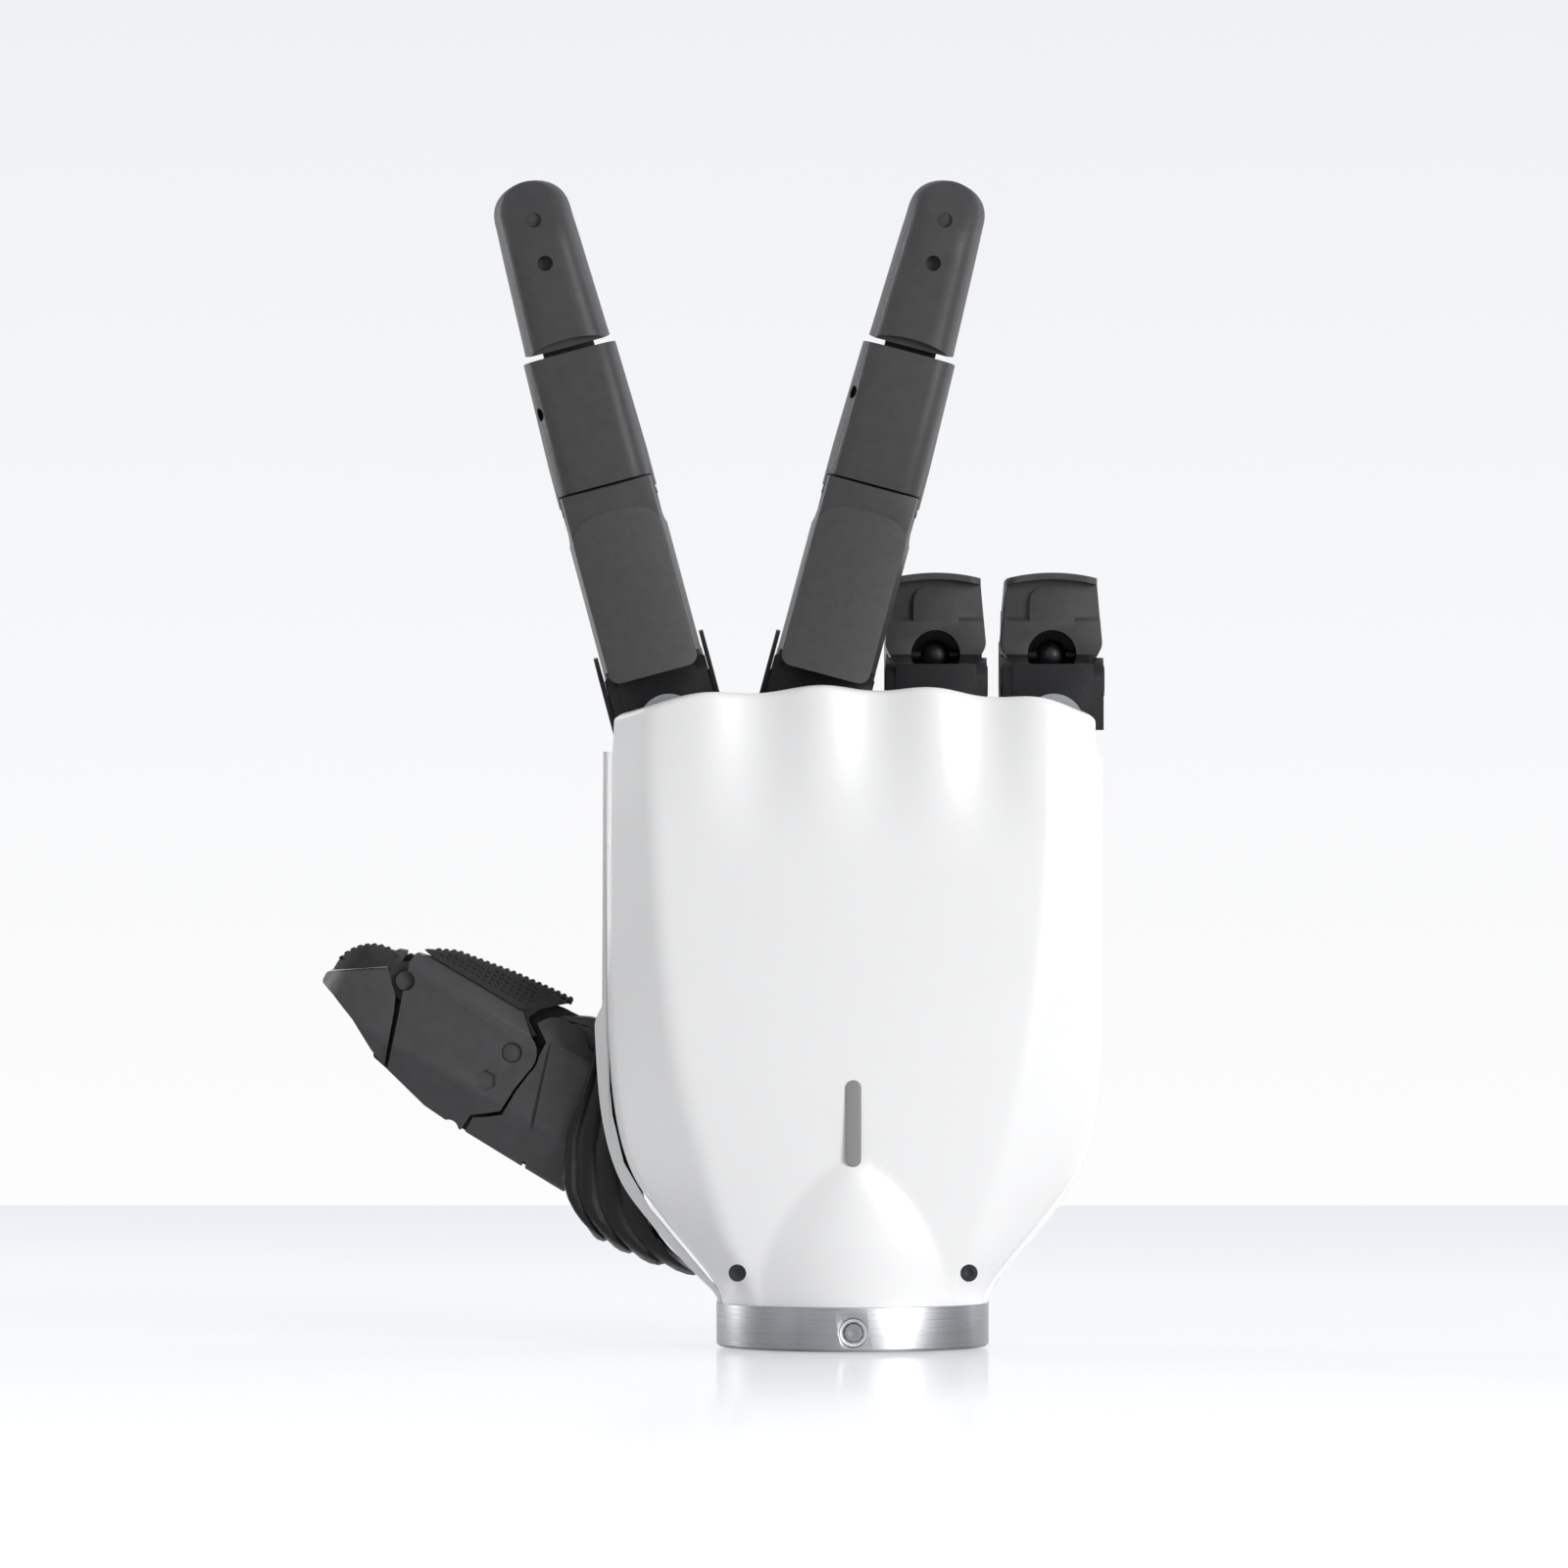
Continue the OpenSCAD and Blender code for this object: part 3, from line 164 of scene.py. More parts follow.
def ease(obj, width_mm, segments=3, angle=32):
    """Rounds the edges that are sharper than an angle."""
    bevel = obj.modifiers.new("ease", "BEVEL")
    bevel.width = width_mm * MM
    bevel.segments = segments
    bevel.limit_method = "ANGLE"
    bevel.angle_limit = math.radians(angle)
    bevel.use_clamp_overlap = True
    bevel.miter_outer = "MITER_ARC"
    run_modifiers(obj)
    shade(obj, 40)


def eased_copy(node, name, width_mm, segments=3, angle=32):
    """Copy of a CAD node whose hard edges are eased, as a mould's or a cutter's are."""
    source = frame["nodes"][node]
    bm = bmesh.new()
    bm.from_mesh(source.data)
    bmesh.ops.remove_doubles(bm, verts=bm.verts, dist=2e-6)
    bmesh.ops.dissolve_degenerate(bm, edges=bm.edges, dist=2e-6)
    bmesh.ops.dissolve_limit(bm, angle_limit=math.radians(1.2), verts=bm.verts, edges=bm.edges)
    obj = new_object(name, bm, angle)
    ease(obj, width_mm, segments, angle)
    return obj


# ---------------------------------------------------------------- materials

def bare_material(name):
    """Empty node material with its output, its shader and a real-size coordinate."""
    material = bpy.data.materials.new(name)
    material.use_nodes = True
    tree = material.node_tree
    tree.nodes.clear()
    shader = add_node(tree, "ShaderNodeBsdfPrincipled")
    add_node(tree, "ShaderNodeOutputMaterial", links={"Surface": shader.outputs["BSDF"]})
    place = add_node(tree, "ShaderNodeTexCoord").outputs["Object"]
    return material, tree, shader, place


def grain(tree, place, size_mm, detail=3.0):
    """Noise whose grains are about size_mm across."""
    return add_node(tree, "ShaderNodeTexNoise", {"Scale": 1 / (size_mm * MM), "Detail": detail},
                    {"Vector": place}).outputs["Fac"]


def relief(tree, shader, height, depth_mm, strength=1.0):
    """Bumps the surface by a height pattern."""
    bump = add_node(tree, "ShaderNodeBump", {"Strength": strength, "Distance": depth_mm * MM}, {"Height": height})
    tree.links.new(bump.outputs["Normal"], shader.inputs["Normal"])


def between(tree, factor, low, high, from_min=0.35, from_max=0.65):
    """A number that moves from low to high with a pattern."""
    return add_node(tree, "ShaderNodeMapRange",
                    {"From Min": from_min, "From Max": from_max, "To Min": low, "To Max": high},
                    {"Value": factor}).outputs["Result"]


def moulded_gloss(name, colour, roughness):
    """Polished moulding: a faint waviness from the mould and small changes of gloss."""
    material, tree, shader, place = bare_material(name)
    shader.inputs["Base Color"].default_value = linear(colour)
    shader.inputs["IOR"].default_value = 1.5
    shader.inputs["Subsurface Weight"].default_value = 0.05
    shader.inputs["Subsurface Scale"].default_value = 0.6 * MM
    wave = grain(tree, place, 34, 1.0)
    tree.links.new(between(tree, grain(tree, place, 6), roughness * 0.85, roughness * 1.2),
                   shader.inputs["Roughness"])
    relief(tree, shader, wave, 0.12, 0.35)
    return material


def moulded_grain(name, colour, roughness, grain_mm, depth_mm, tone=0.06):
    """Moulding with a spark-eroded grain."""
    material, tree, shader, place = bare_material(name)
    shader.inputs["Specular IOR Level"].default_value = 0.22
    base = linear(colour)
    cloud = grain(tree, place, grain_mm * 9)
    mix = add_node(tree, "ShaderNodeMix", {"data_type": "RGBA"}, {"Factor": between(tree, cloud, 0.0, 1.0)})
    mix.inputs[6].default_value = tuple(c * (1 - tone) for c in base[:3]) + (1,)
    mix.inputs[7].default_value = tuple(c * (1 + tone) for c in base[:3]) + (1,)
    tree.links.new(mix.outputs[2], shader.inputs["Base Color"])
    fine = grain(tree, place, grain_mm)
    tree.links.new(between(tree, fine, roughness - 0.05, roughness + 0.07), shader.inputs["Roughness"])
    relief(tree, shader, fine, depth_mm)
    return material


def turned_metal(name, colour, roughness, pitch_mm):
    """Metal turned about the hand's axis: rings on the faces and lines round the rim, over a painted highlight: its
    base colour runs dark, bright right of the middle and dark again across X.
    """
    material, tree, shader, place = bare_material(name)
    shader.inputs["Metallic"].default_value = 1.0
    split = add_node(tree, "ShaderNodeSeparateXYZ", links={"Vector": place})
    flat = add_node(tree, "ShaderNodeCombineXYZ", links={"X": split.outputs["X"], "Y": split.outputs["Y"]})
    radius = add_node(tree, "ShaderNodeVectorMath", {"operation": "LENGTH"}, {"Vector": flat.outputs["Vector"]})
    ring = add_node(tree, "ShaderNodeCombineXYZ", links={"X": radius.outputs["Value"], "Y": split.outputs["Z"]})
    lines = grain(tree, ring.outputs["Vector"], pitch_mm, 5.0)
    across = add_node(tree, "ShaderNodeMapRange", {"From Min": -25 * MM, "From Max": 25 * MM},
                      {"Value": split.outputs["X"]}).outputs["Result"]
    # painted highlight: the base colour follows a ramp of light and dark across X, with a little of the metal's own
    # colour along the lines
    painted_sheen = add_node(tree, "ShaderNodeMix", {"data_type": "RGBA"}, {"Factor": between(tree, lines, 0, 0.22)})
    tree.links.new(paint_ramp(tree, PAINTED_SHEEN, across), painted_sheen.inputs[6])
    painted_sheen.inputs[7].default_value = linear(colour)
    tree.links.new(painted_sheen.outputs[2], shader.inputs["Base Color"])
    tree.links.new(between(tree, lines, roughness * 0.75, roughness * 1.35, 0.3, 0.7), shader.inputs["Roughness"])
    tangent = add_node(tree, "ShaderNodeTangent", {"direction_type": "RADIAL", "axis": "Z"})
    tree.links.new(tangent.outputs["Tangent"], shader.inputs["Tangent"])
    shader.inputs["Anisotropic"].default_value = 0.6
    relief(tree, shader, lines, 0.012)
    return material


# painted highlight across the turned rim: base colours by X, dark at the left, bright right of the middle, dark at
# the right and lighter at the edge
PAINTED_SHEEN = ((0.0, "#88898b"), (0.3, "#707174"), (0.62, "#b4b5b7"), (0.92, "#68696c"), (1.0, "#989a9c"))


def plain_metal(name, colour, roughness, grain_mm):
    """Tumbled or milled metal with a fine grain."""
    material, tree, shader, place = bare_material(name)
    shader.inputs["Base Color"].default_value = linear(colour)
    shader.inputs["Metallic"].default_value = 1.0
    fine = grain(tree, place, grain_mm, 4.0)
    tree.links.new(between(tree, fine, roughness * 0.8, roughness * 1.3), shader.inputs["Roughness"])
    relief(tree, shader, fine, 0.01)
    return material


def lens_plastic(name, colour):
    """Smoke-grey light guide, evenly cloudy."""
    material, tree, shader, place = bare_material(name)
    shader.inputs["Base Color"].default_value = linear(colour)
    shader.inputs["Subsurface Weight"].default_value = 0.1
    shader.inputs["Subsurface Scale"].default_value = 0.5 * MM
    tree.links.new(between(tree, grain(tree, place, 1.2), 0.4, 0.5), shader.inputs["Roughness"])
    return material


def coated_board(name):
    """Green solder mask over copper tracks."""
    material, tree, shader, place = bare_material(name)
    tracks = add_node(tree, "ShaderNodeTexBrick", {"Scale": 1 / (3 * MM), "Color1": linear("#1f5a3a"),
                                                   "Color2": linear("#236b45"), "Mortar": linear("#184a30")},
                      {"Vector": place})
    tree.links.new(tracks.outputs["Color"], shader.inputs["Base Color"])
    shader.inputs["Roughness"].default_value = 0.35
    return material


class Finishes:
    """Every material of the hand, made once and found by its slot."""
    made = {}


def make_finishes():
    looks = bpy.context.scene.hand_looks
    Finishes.made = {
        # injection-moulded ABS with a polished surface
        "white_shell": moulded_gloss("gloss white ABS", looks.shell_colour, looks.shell_roughness),
        # polycarbonate blend with a fine grain, on the fingers
        "charcoal_shell": moulded_grain("charcoal moulded polycarbonate", looks.finger_colour, 0.42, 0.3, 0.02),
        # satin cover plates
        "cover_plate": moulded_grain("satin charcoal cover", looks.cover_colour, 0.5, 0.22, 0.015),
        # glass-filled nylon of the yokes; the thumb's black filler plates of painted shade use it too
        "black_frame": moulded_grain("black glass-filled nylon", "#1c1c1e", 0.38, 0.5, 0.03),
        # silicone rubber bellows
        "rubber": moulded_grain("black silicone rubber", looks.boot_colour, 0.4, 0.6, 0.03),
        # soft polyurethane gripping pads
        "grip_pad": moulded_grain("soft polyurethane pad", "#2b2b2c", 0.72, 0.4, 0.05),
        # turned and brushed aluminium, with a painted highlight in its base colour
        "wrist_metal": turned_metal("turned aluminium", "#9c9ea1", 0.3, 0.18),
        # bead-blasted aluminium of the countersinks
        "bright_metal": plain_metal("bead-blasted aluminium", "#eeeff0", 0.6, 0.3),
        # milled and anodised aluminium
        "frame_metal": plain_metal("milled anodised aluminium", "#9a9da1", 0.42, 0.5),
        # hardened steel
        "pin_steel": plain_metal("ground steel", "#8f9296", 0.3, 0.4),
        # blackened steel of the thumb's pins and of the push rods
        "dark_steel": plain_metal("blackened steel", "#3b3c3e", 0.5, 0.4),
        # smoke-grey light guide
        "light_lens": lens_plastic("smoke-grey light guide", looks.lens_colour),
        # circuit board
        "board": coated_board("green solder mask"),
    }
    for name, node in frame["nodes"].items():
        slot = SLOT_OF[name]
        node.data.materials.clear()
        node.data.materials.append(Finishes.made[slot])


# ---------------------------------------------------------------- palm shells, in millimetres

HALF_W = 45.7
WALL = 2.0
PARTING_Y = -5.0
SHELL_Z = 8.0
BACK_DEPTH = 22.0
PALM_DEPTH = 20.0
TOP_Z = 120.0
PALM_TOP_Z = 112.0
ROW_SPAN = 112.0
SIDE_TABLE = ((8, -21.1), (12, -19.5), (17, -15.7), (23, -10.9), (32, -4.9), (43, -1.7), (58, -0.3), (75, 0),
              (125, 0))
CREASE_TABLE = ((8, 18.5), (19, 23), (35, 27.5), (53, 32), (82, 35.6), (120, 37.6))
BACK_TABLE = ((8, -4), (20, -2.4), (34, -0.8), (52, 0), (100, 0), (120, -0.8))
PALM_TABLE = ((8, -3.5), (26, -1), (50, 0), (100, 0), (122, -3))
TOP_TABLE = ((-46, -4), (-28, -0.8), (-6.1, 0.6), (14.4, 0.2), (34, -1.6), (46, -4.2))
KNUCKLE_ROW = ((-46, -0.45), (-28, 0), (-6.1, 1), (14.4, 2), (34, 3), (46, 3.4))
SCALLOP_DEPTH = 2.4
SCALLOP_FOOT_Z = 86.0
BELL_TOP_Z = 34.5
BELL_HALF = 17.4
BELL_RISE = 3.6
CROWN_DROP = 1.8
FACET_DROP = 7.0


def straight_value(table, x):
    """Straight-line lookup, held at both ends."""
    if x <= table[0][0]:
        return table[0][1]
    for (x0, y0), (x1, y1) in zip(table, table[1:]):
        if x <= x1:
            return lerp(y0, y1, (x - x0) / (x1 - x0))
    return table[-1][1]


def knuckle_wave(x):
    return math.cos(2 * math.pi * straight_value(KNUCKLE_ROW, x))


def top_edge(x):
    return TOP_Z + table_value(TOP_TABLE, x) + 0.5 * knuckle_wave(x)


def back_y(x, z, crease):
    """Depth of the back's surface."""
    valley = (SCALLOP_DEPTH * (0.5 - 0.5 * knuckle_wave(x))
              * smoothstep((z - SCALLOP_FOOT_Z) / (TOP_Z - SCALLOP_FOOT_Z)))
    bell = 0.0
    if z < BELL_TOP_Z:
        k = 1 - ((z - SHELL_Z) / (BELL_TOP_Z - SHELL_Z)) ** 2
        half = BELL_HALF * max(0.0001, k) ** 0.7
        bell = BELL_RISE * max(0.0, k) ** 0.5 * max(0.0, 1 - (x / half) ** 2) ** 1.2
    return -BACK_DEPTH - table_value(BACK_TABLE, z) + CROWN_DROP * (x / crease) ** 2 + valley - bell


def bend(p, q, s, n):
    """Points of a soft corner at q, between p and s."""
    out = []
    for i in range(n + 1):
        t = i / n
        out.append(tuple((1 - t) ** 2 * a + 2 * t * (1 - t) * b + t * t * c for a, b, c in zip(p, q, s)))
    return out


def towards(p, q, distance):
    """The point at a distance from p on the way to q."""
    length = math.hypot(q[0] - p[0], q[1] - p[1])
    return (lerp(p[0], q[0], distance / length), lerp(p[1], q[1], distance / length))


def back_half(z, t, side, columns):
    """One half of the back's section, from the parting line in to the middle."""
    w = HALF_W + table_value(SIDE_TABLE, z) - t - 0.8
    c = min(table_value(CREASE_TABLE, z), w - 2)
    crease = (side * c, back_y(side * c, z, c) + t)
    facet_y = crease[1] + FACET_DROP
    shoulder = (side * w, facet_y + 0.6)
    foot = (side * w, PARTING_Y)
    wall = [(side * w, lerp(PARTING_Y, shoulder[1] + 1.8, i / 5)) for i in range(5)]
    corner = bend(towards(shoulder, foot, 1.8), shoulder, towards(shoulder, crease, 1.8), 6)
    soft = 2.2
    inner = (side * (c - soft), back_y(side * (c - soft), z, c) + t)
    last, first = corner[-1], towards(crease, shoulder, soft)
    facet = [(lerp(last[0], first[0], i / 6), lerp(last[1], first[1], i / 6)) for i in range(1, 6)]
    turn = bend(first, crease, inner, 6)
    crown = []
    for i in range(1, columns + 1):
        x = side * (c - soft) * (1 - i / columns)
        crown.append((x, back_y(x, z, c) + t))
    return wall + corner + facet + turn + crown


def back_section(z, t, columns=52):
    left = back_half(z, t, -1, columns)
    right = back_half(z, t, 1, columns)
    return left + right[-2::-1]


def palm_section(z, t):
    w = HALF_W + table_value(SIDE_TABLE, z) - t
    left = w + 1.7 * smoothstep((68 - z) / 5) * smoothstep((z - 8) / 8)
    y = PALM_DEPTH + table_value(PALM_TABLE, z) - t
    k = 6.0
    out = [(-left, lerp(PARTING_Y, y - k, i / 8)) for i in range(8)]
    for i in range(13):
        a = math.pi * (1 - i / 24)
        out.append((-left + k + k * math.cos(a), y - k + k * math.sin(a)))
    span = [(lerp(-left + k, w - k, i / 40), y) for i in range(1, 40)]
    out += span
    for i in range(13):
        a = math.pi / 2 * (1 - i / 12)
        out.append((w - k + k * math.cos(a), y - k + k * math.sin(a)))
    out += [(w, lerp(y - k, PARTING_Y, i / 8)) for i in range(1, 9)]
    return out


def lip_path(top, outer_r):
    """Rows of a shell as (height, depth into the wall): up the outside, round the lip, down the inside."""
    path = [(v * 1.25, 0.0) for v in range(int((top - outer_r) / 1.25))]
    path.append((top - outer_r, 0.0))
    inner_r = WALL - outer_r
    for i in range(1, 9):
        a = math.pi / 2 * i / 8
        path.append((top - outer_r + outer_r * math.sin(a), outer_r * (1 - math.cos(a))))
    for i in range(1, 5):
        a = math.pi / 2 * i / 4
        path.append((top - inner_r + inner_r * math.cos(a), WALL - inner_r + inner_r * math.sin(a)))
    path += [(lerp(top - inner_r, 0, i / 12), WALL) for i in range(1, 13)]
    return path


def shell_piece(name, section, edge, top, outer_r):
    """Thin moulded shell: section by height, and the height of its upper edge by x."""
    bm = bmesh.new()
    rows = []
    for v, t in lip_path(top, outer_r):
        row = []
        for x, y in section(SHELL_Z + v, t):
            z = SHELL_Z + v * (edge(x) - SHELL_Z) / ROW_SPAN
            row.append(bm.verts.new((x * MM, y * MM, z * MM)))
        rows.append(row)
    grid_faces(bm, rows + rows[:1])
    caps = [bm.faces.new([row[i] for row in rows]) for i in (0, -1)]
    bmesh.ops.triangulate(bm, faces=caps, ngon_method="EAR_CLIP")
    return new_object(name, bm, 50)


def cutter_box(lo, hi):
    bm = bmesh.new()
    bmesh.ops.create_cube(bm, size=1)
    for v in bm.verts:
        v.co = Vector([lerp(a, b, c + 0.5) * MM for a, b, c in zip(lo, hi, v.co)])
    return new_object("cutter", bm)


def cutter_outline(points, y0, y1):
    """Prism along Y over an outline of (x, z) points."""
    bm = bmesh.new()
    front = [bm.verts.new((x * MM, y0 * MM, z * MM)) for x, z in points]
    back = [bm.verts.new((x * MM, y1 * MM, z * MM)) for x, z in points]
    bm.faces.new(front)
    bm.faces.new(back[::-1])
    for i in range(len(points)):
        j = (i + 1) % len(points)
        bm.faces.new((front[i], front[j], back[j], back[i]))
    return new_object("cutter", bm)


def ring_points(cx, cz, r, n=40, a0=0.0, a1=2 * math.pi):
    closed = abs(a1 - a0 - 2 * math.pi) < 1e-6
    m = n if closed else n + 1
    return [(cx + r * math.cos(a0 + (a1 - a0) * i / n), cz + r * math.sin(a0 + (a1 - a0) * i / n)) for i in range(m)]


def pill_points(cx, cz, width, length):
    r = width / 2
    top = ring_points(cx, cz + length / 2 - r, r, 16, 0, math.pi)
    return top + ring_points(cx, cz - length / 2 + r, r, 16, math.pi, 2 * math.pi)


def cut(obj, cutters):
    """Takes the cutters out of an object and throws them away."""
    for cutter in cutters:
        modifier = obj.modifiers.new("cut", "BOOLEAN")
        modifier.operation = "DIFFERENCE"
        modifier.solver = "MANIFOLD"
        modifier.object = cutter
    run_modifiers(obj)
    for cutter in cutters:
        bpy.data.objects.remove(cutter)


FINGER_X = (-33.6, -7.9, 15.3, 36.7)
SPREAD_Z = 114
FINGER_TILT = (-15, 15, 0, 0)
FINGER_CURL = (0, 0, 90, 90)
COVER_FOOT_Z = 1.4
COVER_TOP_Z = 32.2
COVER_HALF = 8.3
CROWN_R = 34.1
TIP_FOOT_Z = 4.4
TONGUE_R = 3.6
TIP_ROWS = (4.4, 6.6, 9, 12, 15, 18, 20, 22, 24, 26, 27.5, 29, 30.2, 31.3, 32.2, 33, 33.7, 34.3, 34.8, 35.2, 35.5,
            35.75, 35.92, 36.0)
TIP_BACK = ((4.4, -12.6), (22, -12.6), (25, -12.3), (27, -11.7), (29, -10.8), (31, -9.7), (33, -8.5), (36.5, -6.2))
TIP_PAD = ((4.4, 4.5), (23, 4.5), (26, 4.1), (28.5, 3.0), (30.5, 1.6), (32.5, -0.3), (34.5, -2.6), (36.5, -5.0))

STUD_TOP = ((24.4, 12.4), (29.8, 12), (37.1, 11.2), (44.2, 10), (48, 9.4), (53.3, 6.9))

LOCK_Z = 3.52
SCREW_SPLIT_Z = 10
SCREW_X = 21.1
SCREW_Z = 14.0
LIGHT_Z = 41.4
THUMB_Y = 9.0
TURRET_X = -24.0
BAY_TOP_Z = 72.5


def notches():
    """Side clearance of the two outer knuckles."""
    return [cutter_box((38, -12, 109), (58, 22, 129)), cutter_box((-58, -12, 109), (-38, 22, 129))]


def build_shells():
    white = Finishes.made["white_shell"]
    back = shell_piece("back_shell", back_section, top_edge, ROW_SPAN, 1.4)
    cutters = notches()
    cutters.append(cutter_outline(pill_points(0, LIGHT_Z, 2.9, 15.8), -26, -18))
    for s in (-1, 1):
        cutters.append(cutter_outline(ring_points(s * SCREW_X, SCREW_Z, 1.6), -22, -14.6))
        cutters.append(cutter_outline(ring_points(s * SCREW_X, SCREW_Z, 0.8, 24), -22, 0))
    cut(back, cutters)
    shade(back, 38)
    dress(back, white, replaces=["dorsal_shell"])

    front = shell_piece("palm_side_shell", palm_section, lambda x: PALM_TOP_Z, ROW_SPAN, 1.0)
    bay = [(TURRET_X + 26 * math.cos(a), THUMB_Y + 26 * math.sin(a))
           for a in [math.radians(60 + 4 * i) for i in range(75)]]
    bm = bmesh.new()
    outline = [(x, y) for x, y in bay if x <= TURRET_X + 10 and y >= PARTING_Y + 2]
    outline.append((TURRET_X + 10, PARTING_Y + 2))
    low = [bm.verts.new((x * MM, y * MM, 11 * MM)) for x, y in outline]
    high = [bm.verts.new((x * MM, y * MM, BAY_TOP_Z * MM)) for x, y in outline]
    bm.faces.new(low)
    bm.faces.new(high[::-1])
    for i in range(len(low)):
        j = (i + 1) % len(low)
        bm.faces.new((low[i], low[j], high[j], high[i]))
    bay_cutter = new_object("cutter", bm)
    pocket = cutter_outline(soft_outline([(-32.7, BAY_TOP_Z, 4), (32.7, BAY_TOP_Z, 4),
                                          (34.7, PALM_TOP_Z - 8, 6), (-34.7, PALM_TOP_Z - 8, 6)]), 19, 22)
    cut(front, notches() + [bay_cutter, pocket])
    shade(front, 38)
    dress(front, white, replaces=["palm_shell"])
    pad = eased_copy("palm_pad", "palm_grip_pad", 0.5)
    dress(pad, Finishes.made["grip_pad"], replaces=["palm_pad"])
    lens = eased_copy("status_light", "status_lens", 0.25)
    dress(lens, Finishes.made["light_lens"], replaces=["status_light"])


def soft_outline(points, n=6):
    """Outline whose corners are rounded: each entry is (x, z, radius)."""
    out = []
    m = len(points)
    for i, (x, z, r) in enumerate(points):
        px, pz = points[i - 1][:2]
        nx, nz = points[(i + 1) % m][:2]
        out += bend(towards((x, z), (px, pz), r), (x, z), towards((x, z), (nx, nz), r), n)
    return out


def build_eased(nodes, width_mm, suffix="_eased"):
    for node in nodes:
        slot = SLOT_OF[node]
        dress(eased_copy(node, node + suffix, width_mm), Finishes.made[slot], replaces=[node])


def placed(x=0.0, y=0.0, z=0.0, about="X", degrees=0.0):
    """Frame moved by millimetres, then turned about one of its own axes."""
    return Matrix.Translation((x * MM, y * MM, z * MM)) @ Matrix.Rotation(math.radians(degrees), 4, about)


def root_frame(i):
    """Frame of a finger's first axle: X across, Z towards the tip, -Y to the back."""
    return placed(FINGER_X[i], 0, SPREAD_Z, "Y", FINGER_TILT[i]) @ placed(0, 0, 8, "X", -FINGER_CURL[i])


def tip_frame(i):
    """Frame of a finger's last axle, past its second one."""
    second = placed(0, -7, 35, "X", -FINGER_CURL[i] * 8 / 9)
    return root_frame(i) @ second @ placed(0, 1, 23.5, "X", -FINGER_CURL[i] / 3)


def tip_loop(z):
    """Cross-section of the fingertip as (x, y) points; it closes in a dome."""
    closing = math.sqrt(1 - max(0.0, (z - 29) / 7.03) ** 2.6)
    w = lerp(8.45, 7.55, min(1.0, (z - TIP_FOOT_Z) / 24)) * closing
    back, pad = straight_value(TIP_BACK, z), straight_value(TIP_PAD, z)
    waist = lerp(back, pad, 0.53)
    r = min(4.2, 0.45 * w + 0.02, 0.24 * (pad - back))
    return soft_outline([(-0.77 * w, back, r), (-w, waist, r), (-0.72 * w, pad, r),
                         (0.72 * w, pad, r), (w, waist, r), (0.77 * w, back, r)])


def add_prism(bm, outline, place, depth):
    """Closed prism: a closed outline in a plane given by place(u, v, depth)."""
    ends = [[bm.verts.new(place(u, v, d)) for u, v in outline] for d in depth]
    bm.faces.new(ends[0])
    bm.faces.new(ends[1][::-1])
    grid_faces(bm, ends, close_u=True)


def build_tip(i):
    finger = FINGERS[i]
    bm = bmesh.new()
    rows = []
    for z in TIP_ROWS:
        loop = tip_loop(z)
        foot = 1.6 if z == TIP_FOOT_Z else 0.0
        rows.append([bm.verts.new((x * MM, y * MM, (z + foot * (y - TIP_BACK[0][1]) / 17) * MM)) for x, y in loop])
    bm.faces.new(rows[0])
    bm.faces.new(rows[-1][::-1])
    grid_faces(bm, rows, close_u=True)
    tip = new_object(finger + "_fingertip", bm)
    cut(tip, [cutter_outline(ring_points(0, TIP_FOOT_Z + 1.6 - 22, 22, 120), -16, -10.6),
              cutter_outline(soft_outline([(-5, 8.4, 2), (5, 8.4, 2), (5, 27, 4), (-5, 27, 4)]), 3, 9),
              cutter_outline(ring_points(0, 20.3, 1.4, 32), -16, -10.4),
              cutter_outline(ring_points(0, 28.5, 1.4, 32), -16, -10.1)])
    bm = bmesh.new()
    bm.from_mesh(tip.data)
    eye = [(TONGUE_R * math.cos(a), TONGUE_R * math.sin(a)) for a in [math.radians(15 * k) for k in range(24)]]
    neck = [(-TONGUE_R, 0), (TONGUE_R, 0), (TONGUE_R, 5.4), (-TONGUE_R, 5.4)]
    for outline in (eye, neck):
        add_prism(bm, outline, lambda u, v, d: (d * MM, u * MM, v * MM), (-4.8, 4.8))
    bm.to_mesh(tip.data)
    bm.free()
    tip.data.transform(tip_frame(i))
    shade(tip, 40)
    dress(tip, Finishes.made["charcoal_shell"], replaces=[finger + "_distal"])


def build_cover(i):
    """Cover plate of the first segment: full width, bent over its crown, with an arched top."""
    z0, z1, half, r = COVER_FOOT_Z, COVER_TOP_Z, COVER_HALF, CROWN_R
    bm = bmesh.new()
    rows = []
    foot = [z0 + 2 * v for v in (0, 0.05, 0.15, 0.3, 0.5, 0.75, 1)]
    middle = [z0 + 2 + (z1 - 7 - z0) * k / 8 for k in range(1, 8)]
    arch = [z1 - 5 + 5 * v for v in (0, 0.15, 0.3, 0.45, 0.58, 0.7, 0.8, 0.88, 0.94, 0.98, 1)]
    for z in foot + middle + arch:
        low = max(0.0, z0 + 2 - z)
        high = max(0.0, (z - z1 + 5) / 5)
        hw = (half - 2 + math.sqrt(4 - low * low)) if low else max(0.6, half * (1 - high ** 2.6) ** (1 / 2.6))
        xs = [hw * (2 * k / 20 - 1) for k in range(21)]
        arc = [(x, r - math.sqrt(r * r - x * x) - 19.95) for x in xs]
        rows.append([bm.verts.new((x * MM, y * MM, z * MM)) for x, y in arc]
                    + [bm.verts.new((x * MM, (y + 1.2) * MM, z * MM)) for x, y in arc[::-1]])
    bm.faces.new(rows[0])
    bm.faces.new(rows[-1][::-1])
    grid_faces(bm, rows, close_u=True)
    plate = new_object(FINGERS[i] + "_cover_plate", bm)
    ease(plate, 0.3, 3, 50)
    plate.data.transform(root_frame(i))
    dress(plate, Finishes.made["cover_plate"], replaces=[FINGERS[i] + "_cover"])


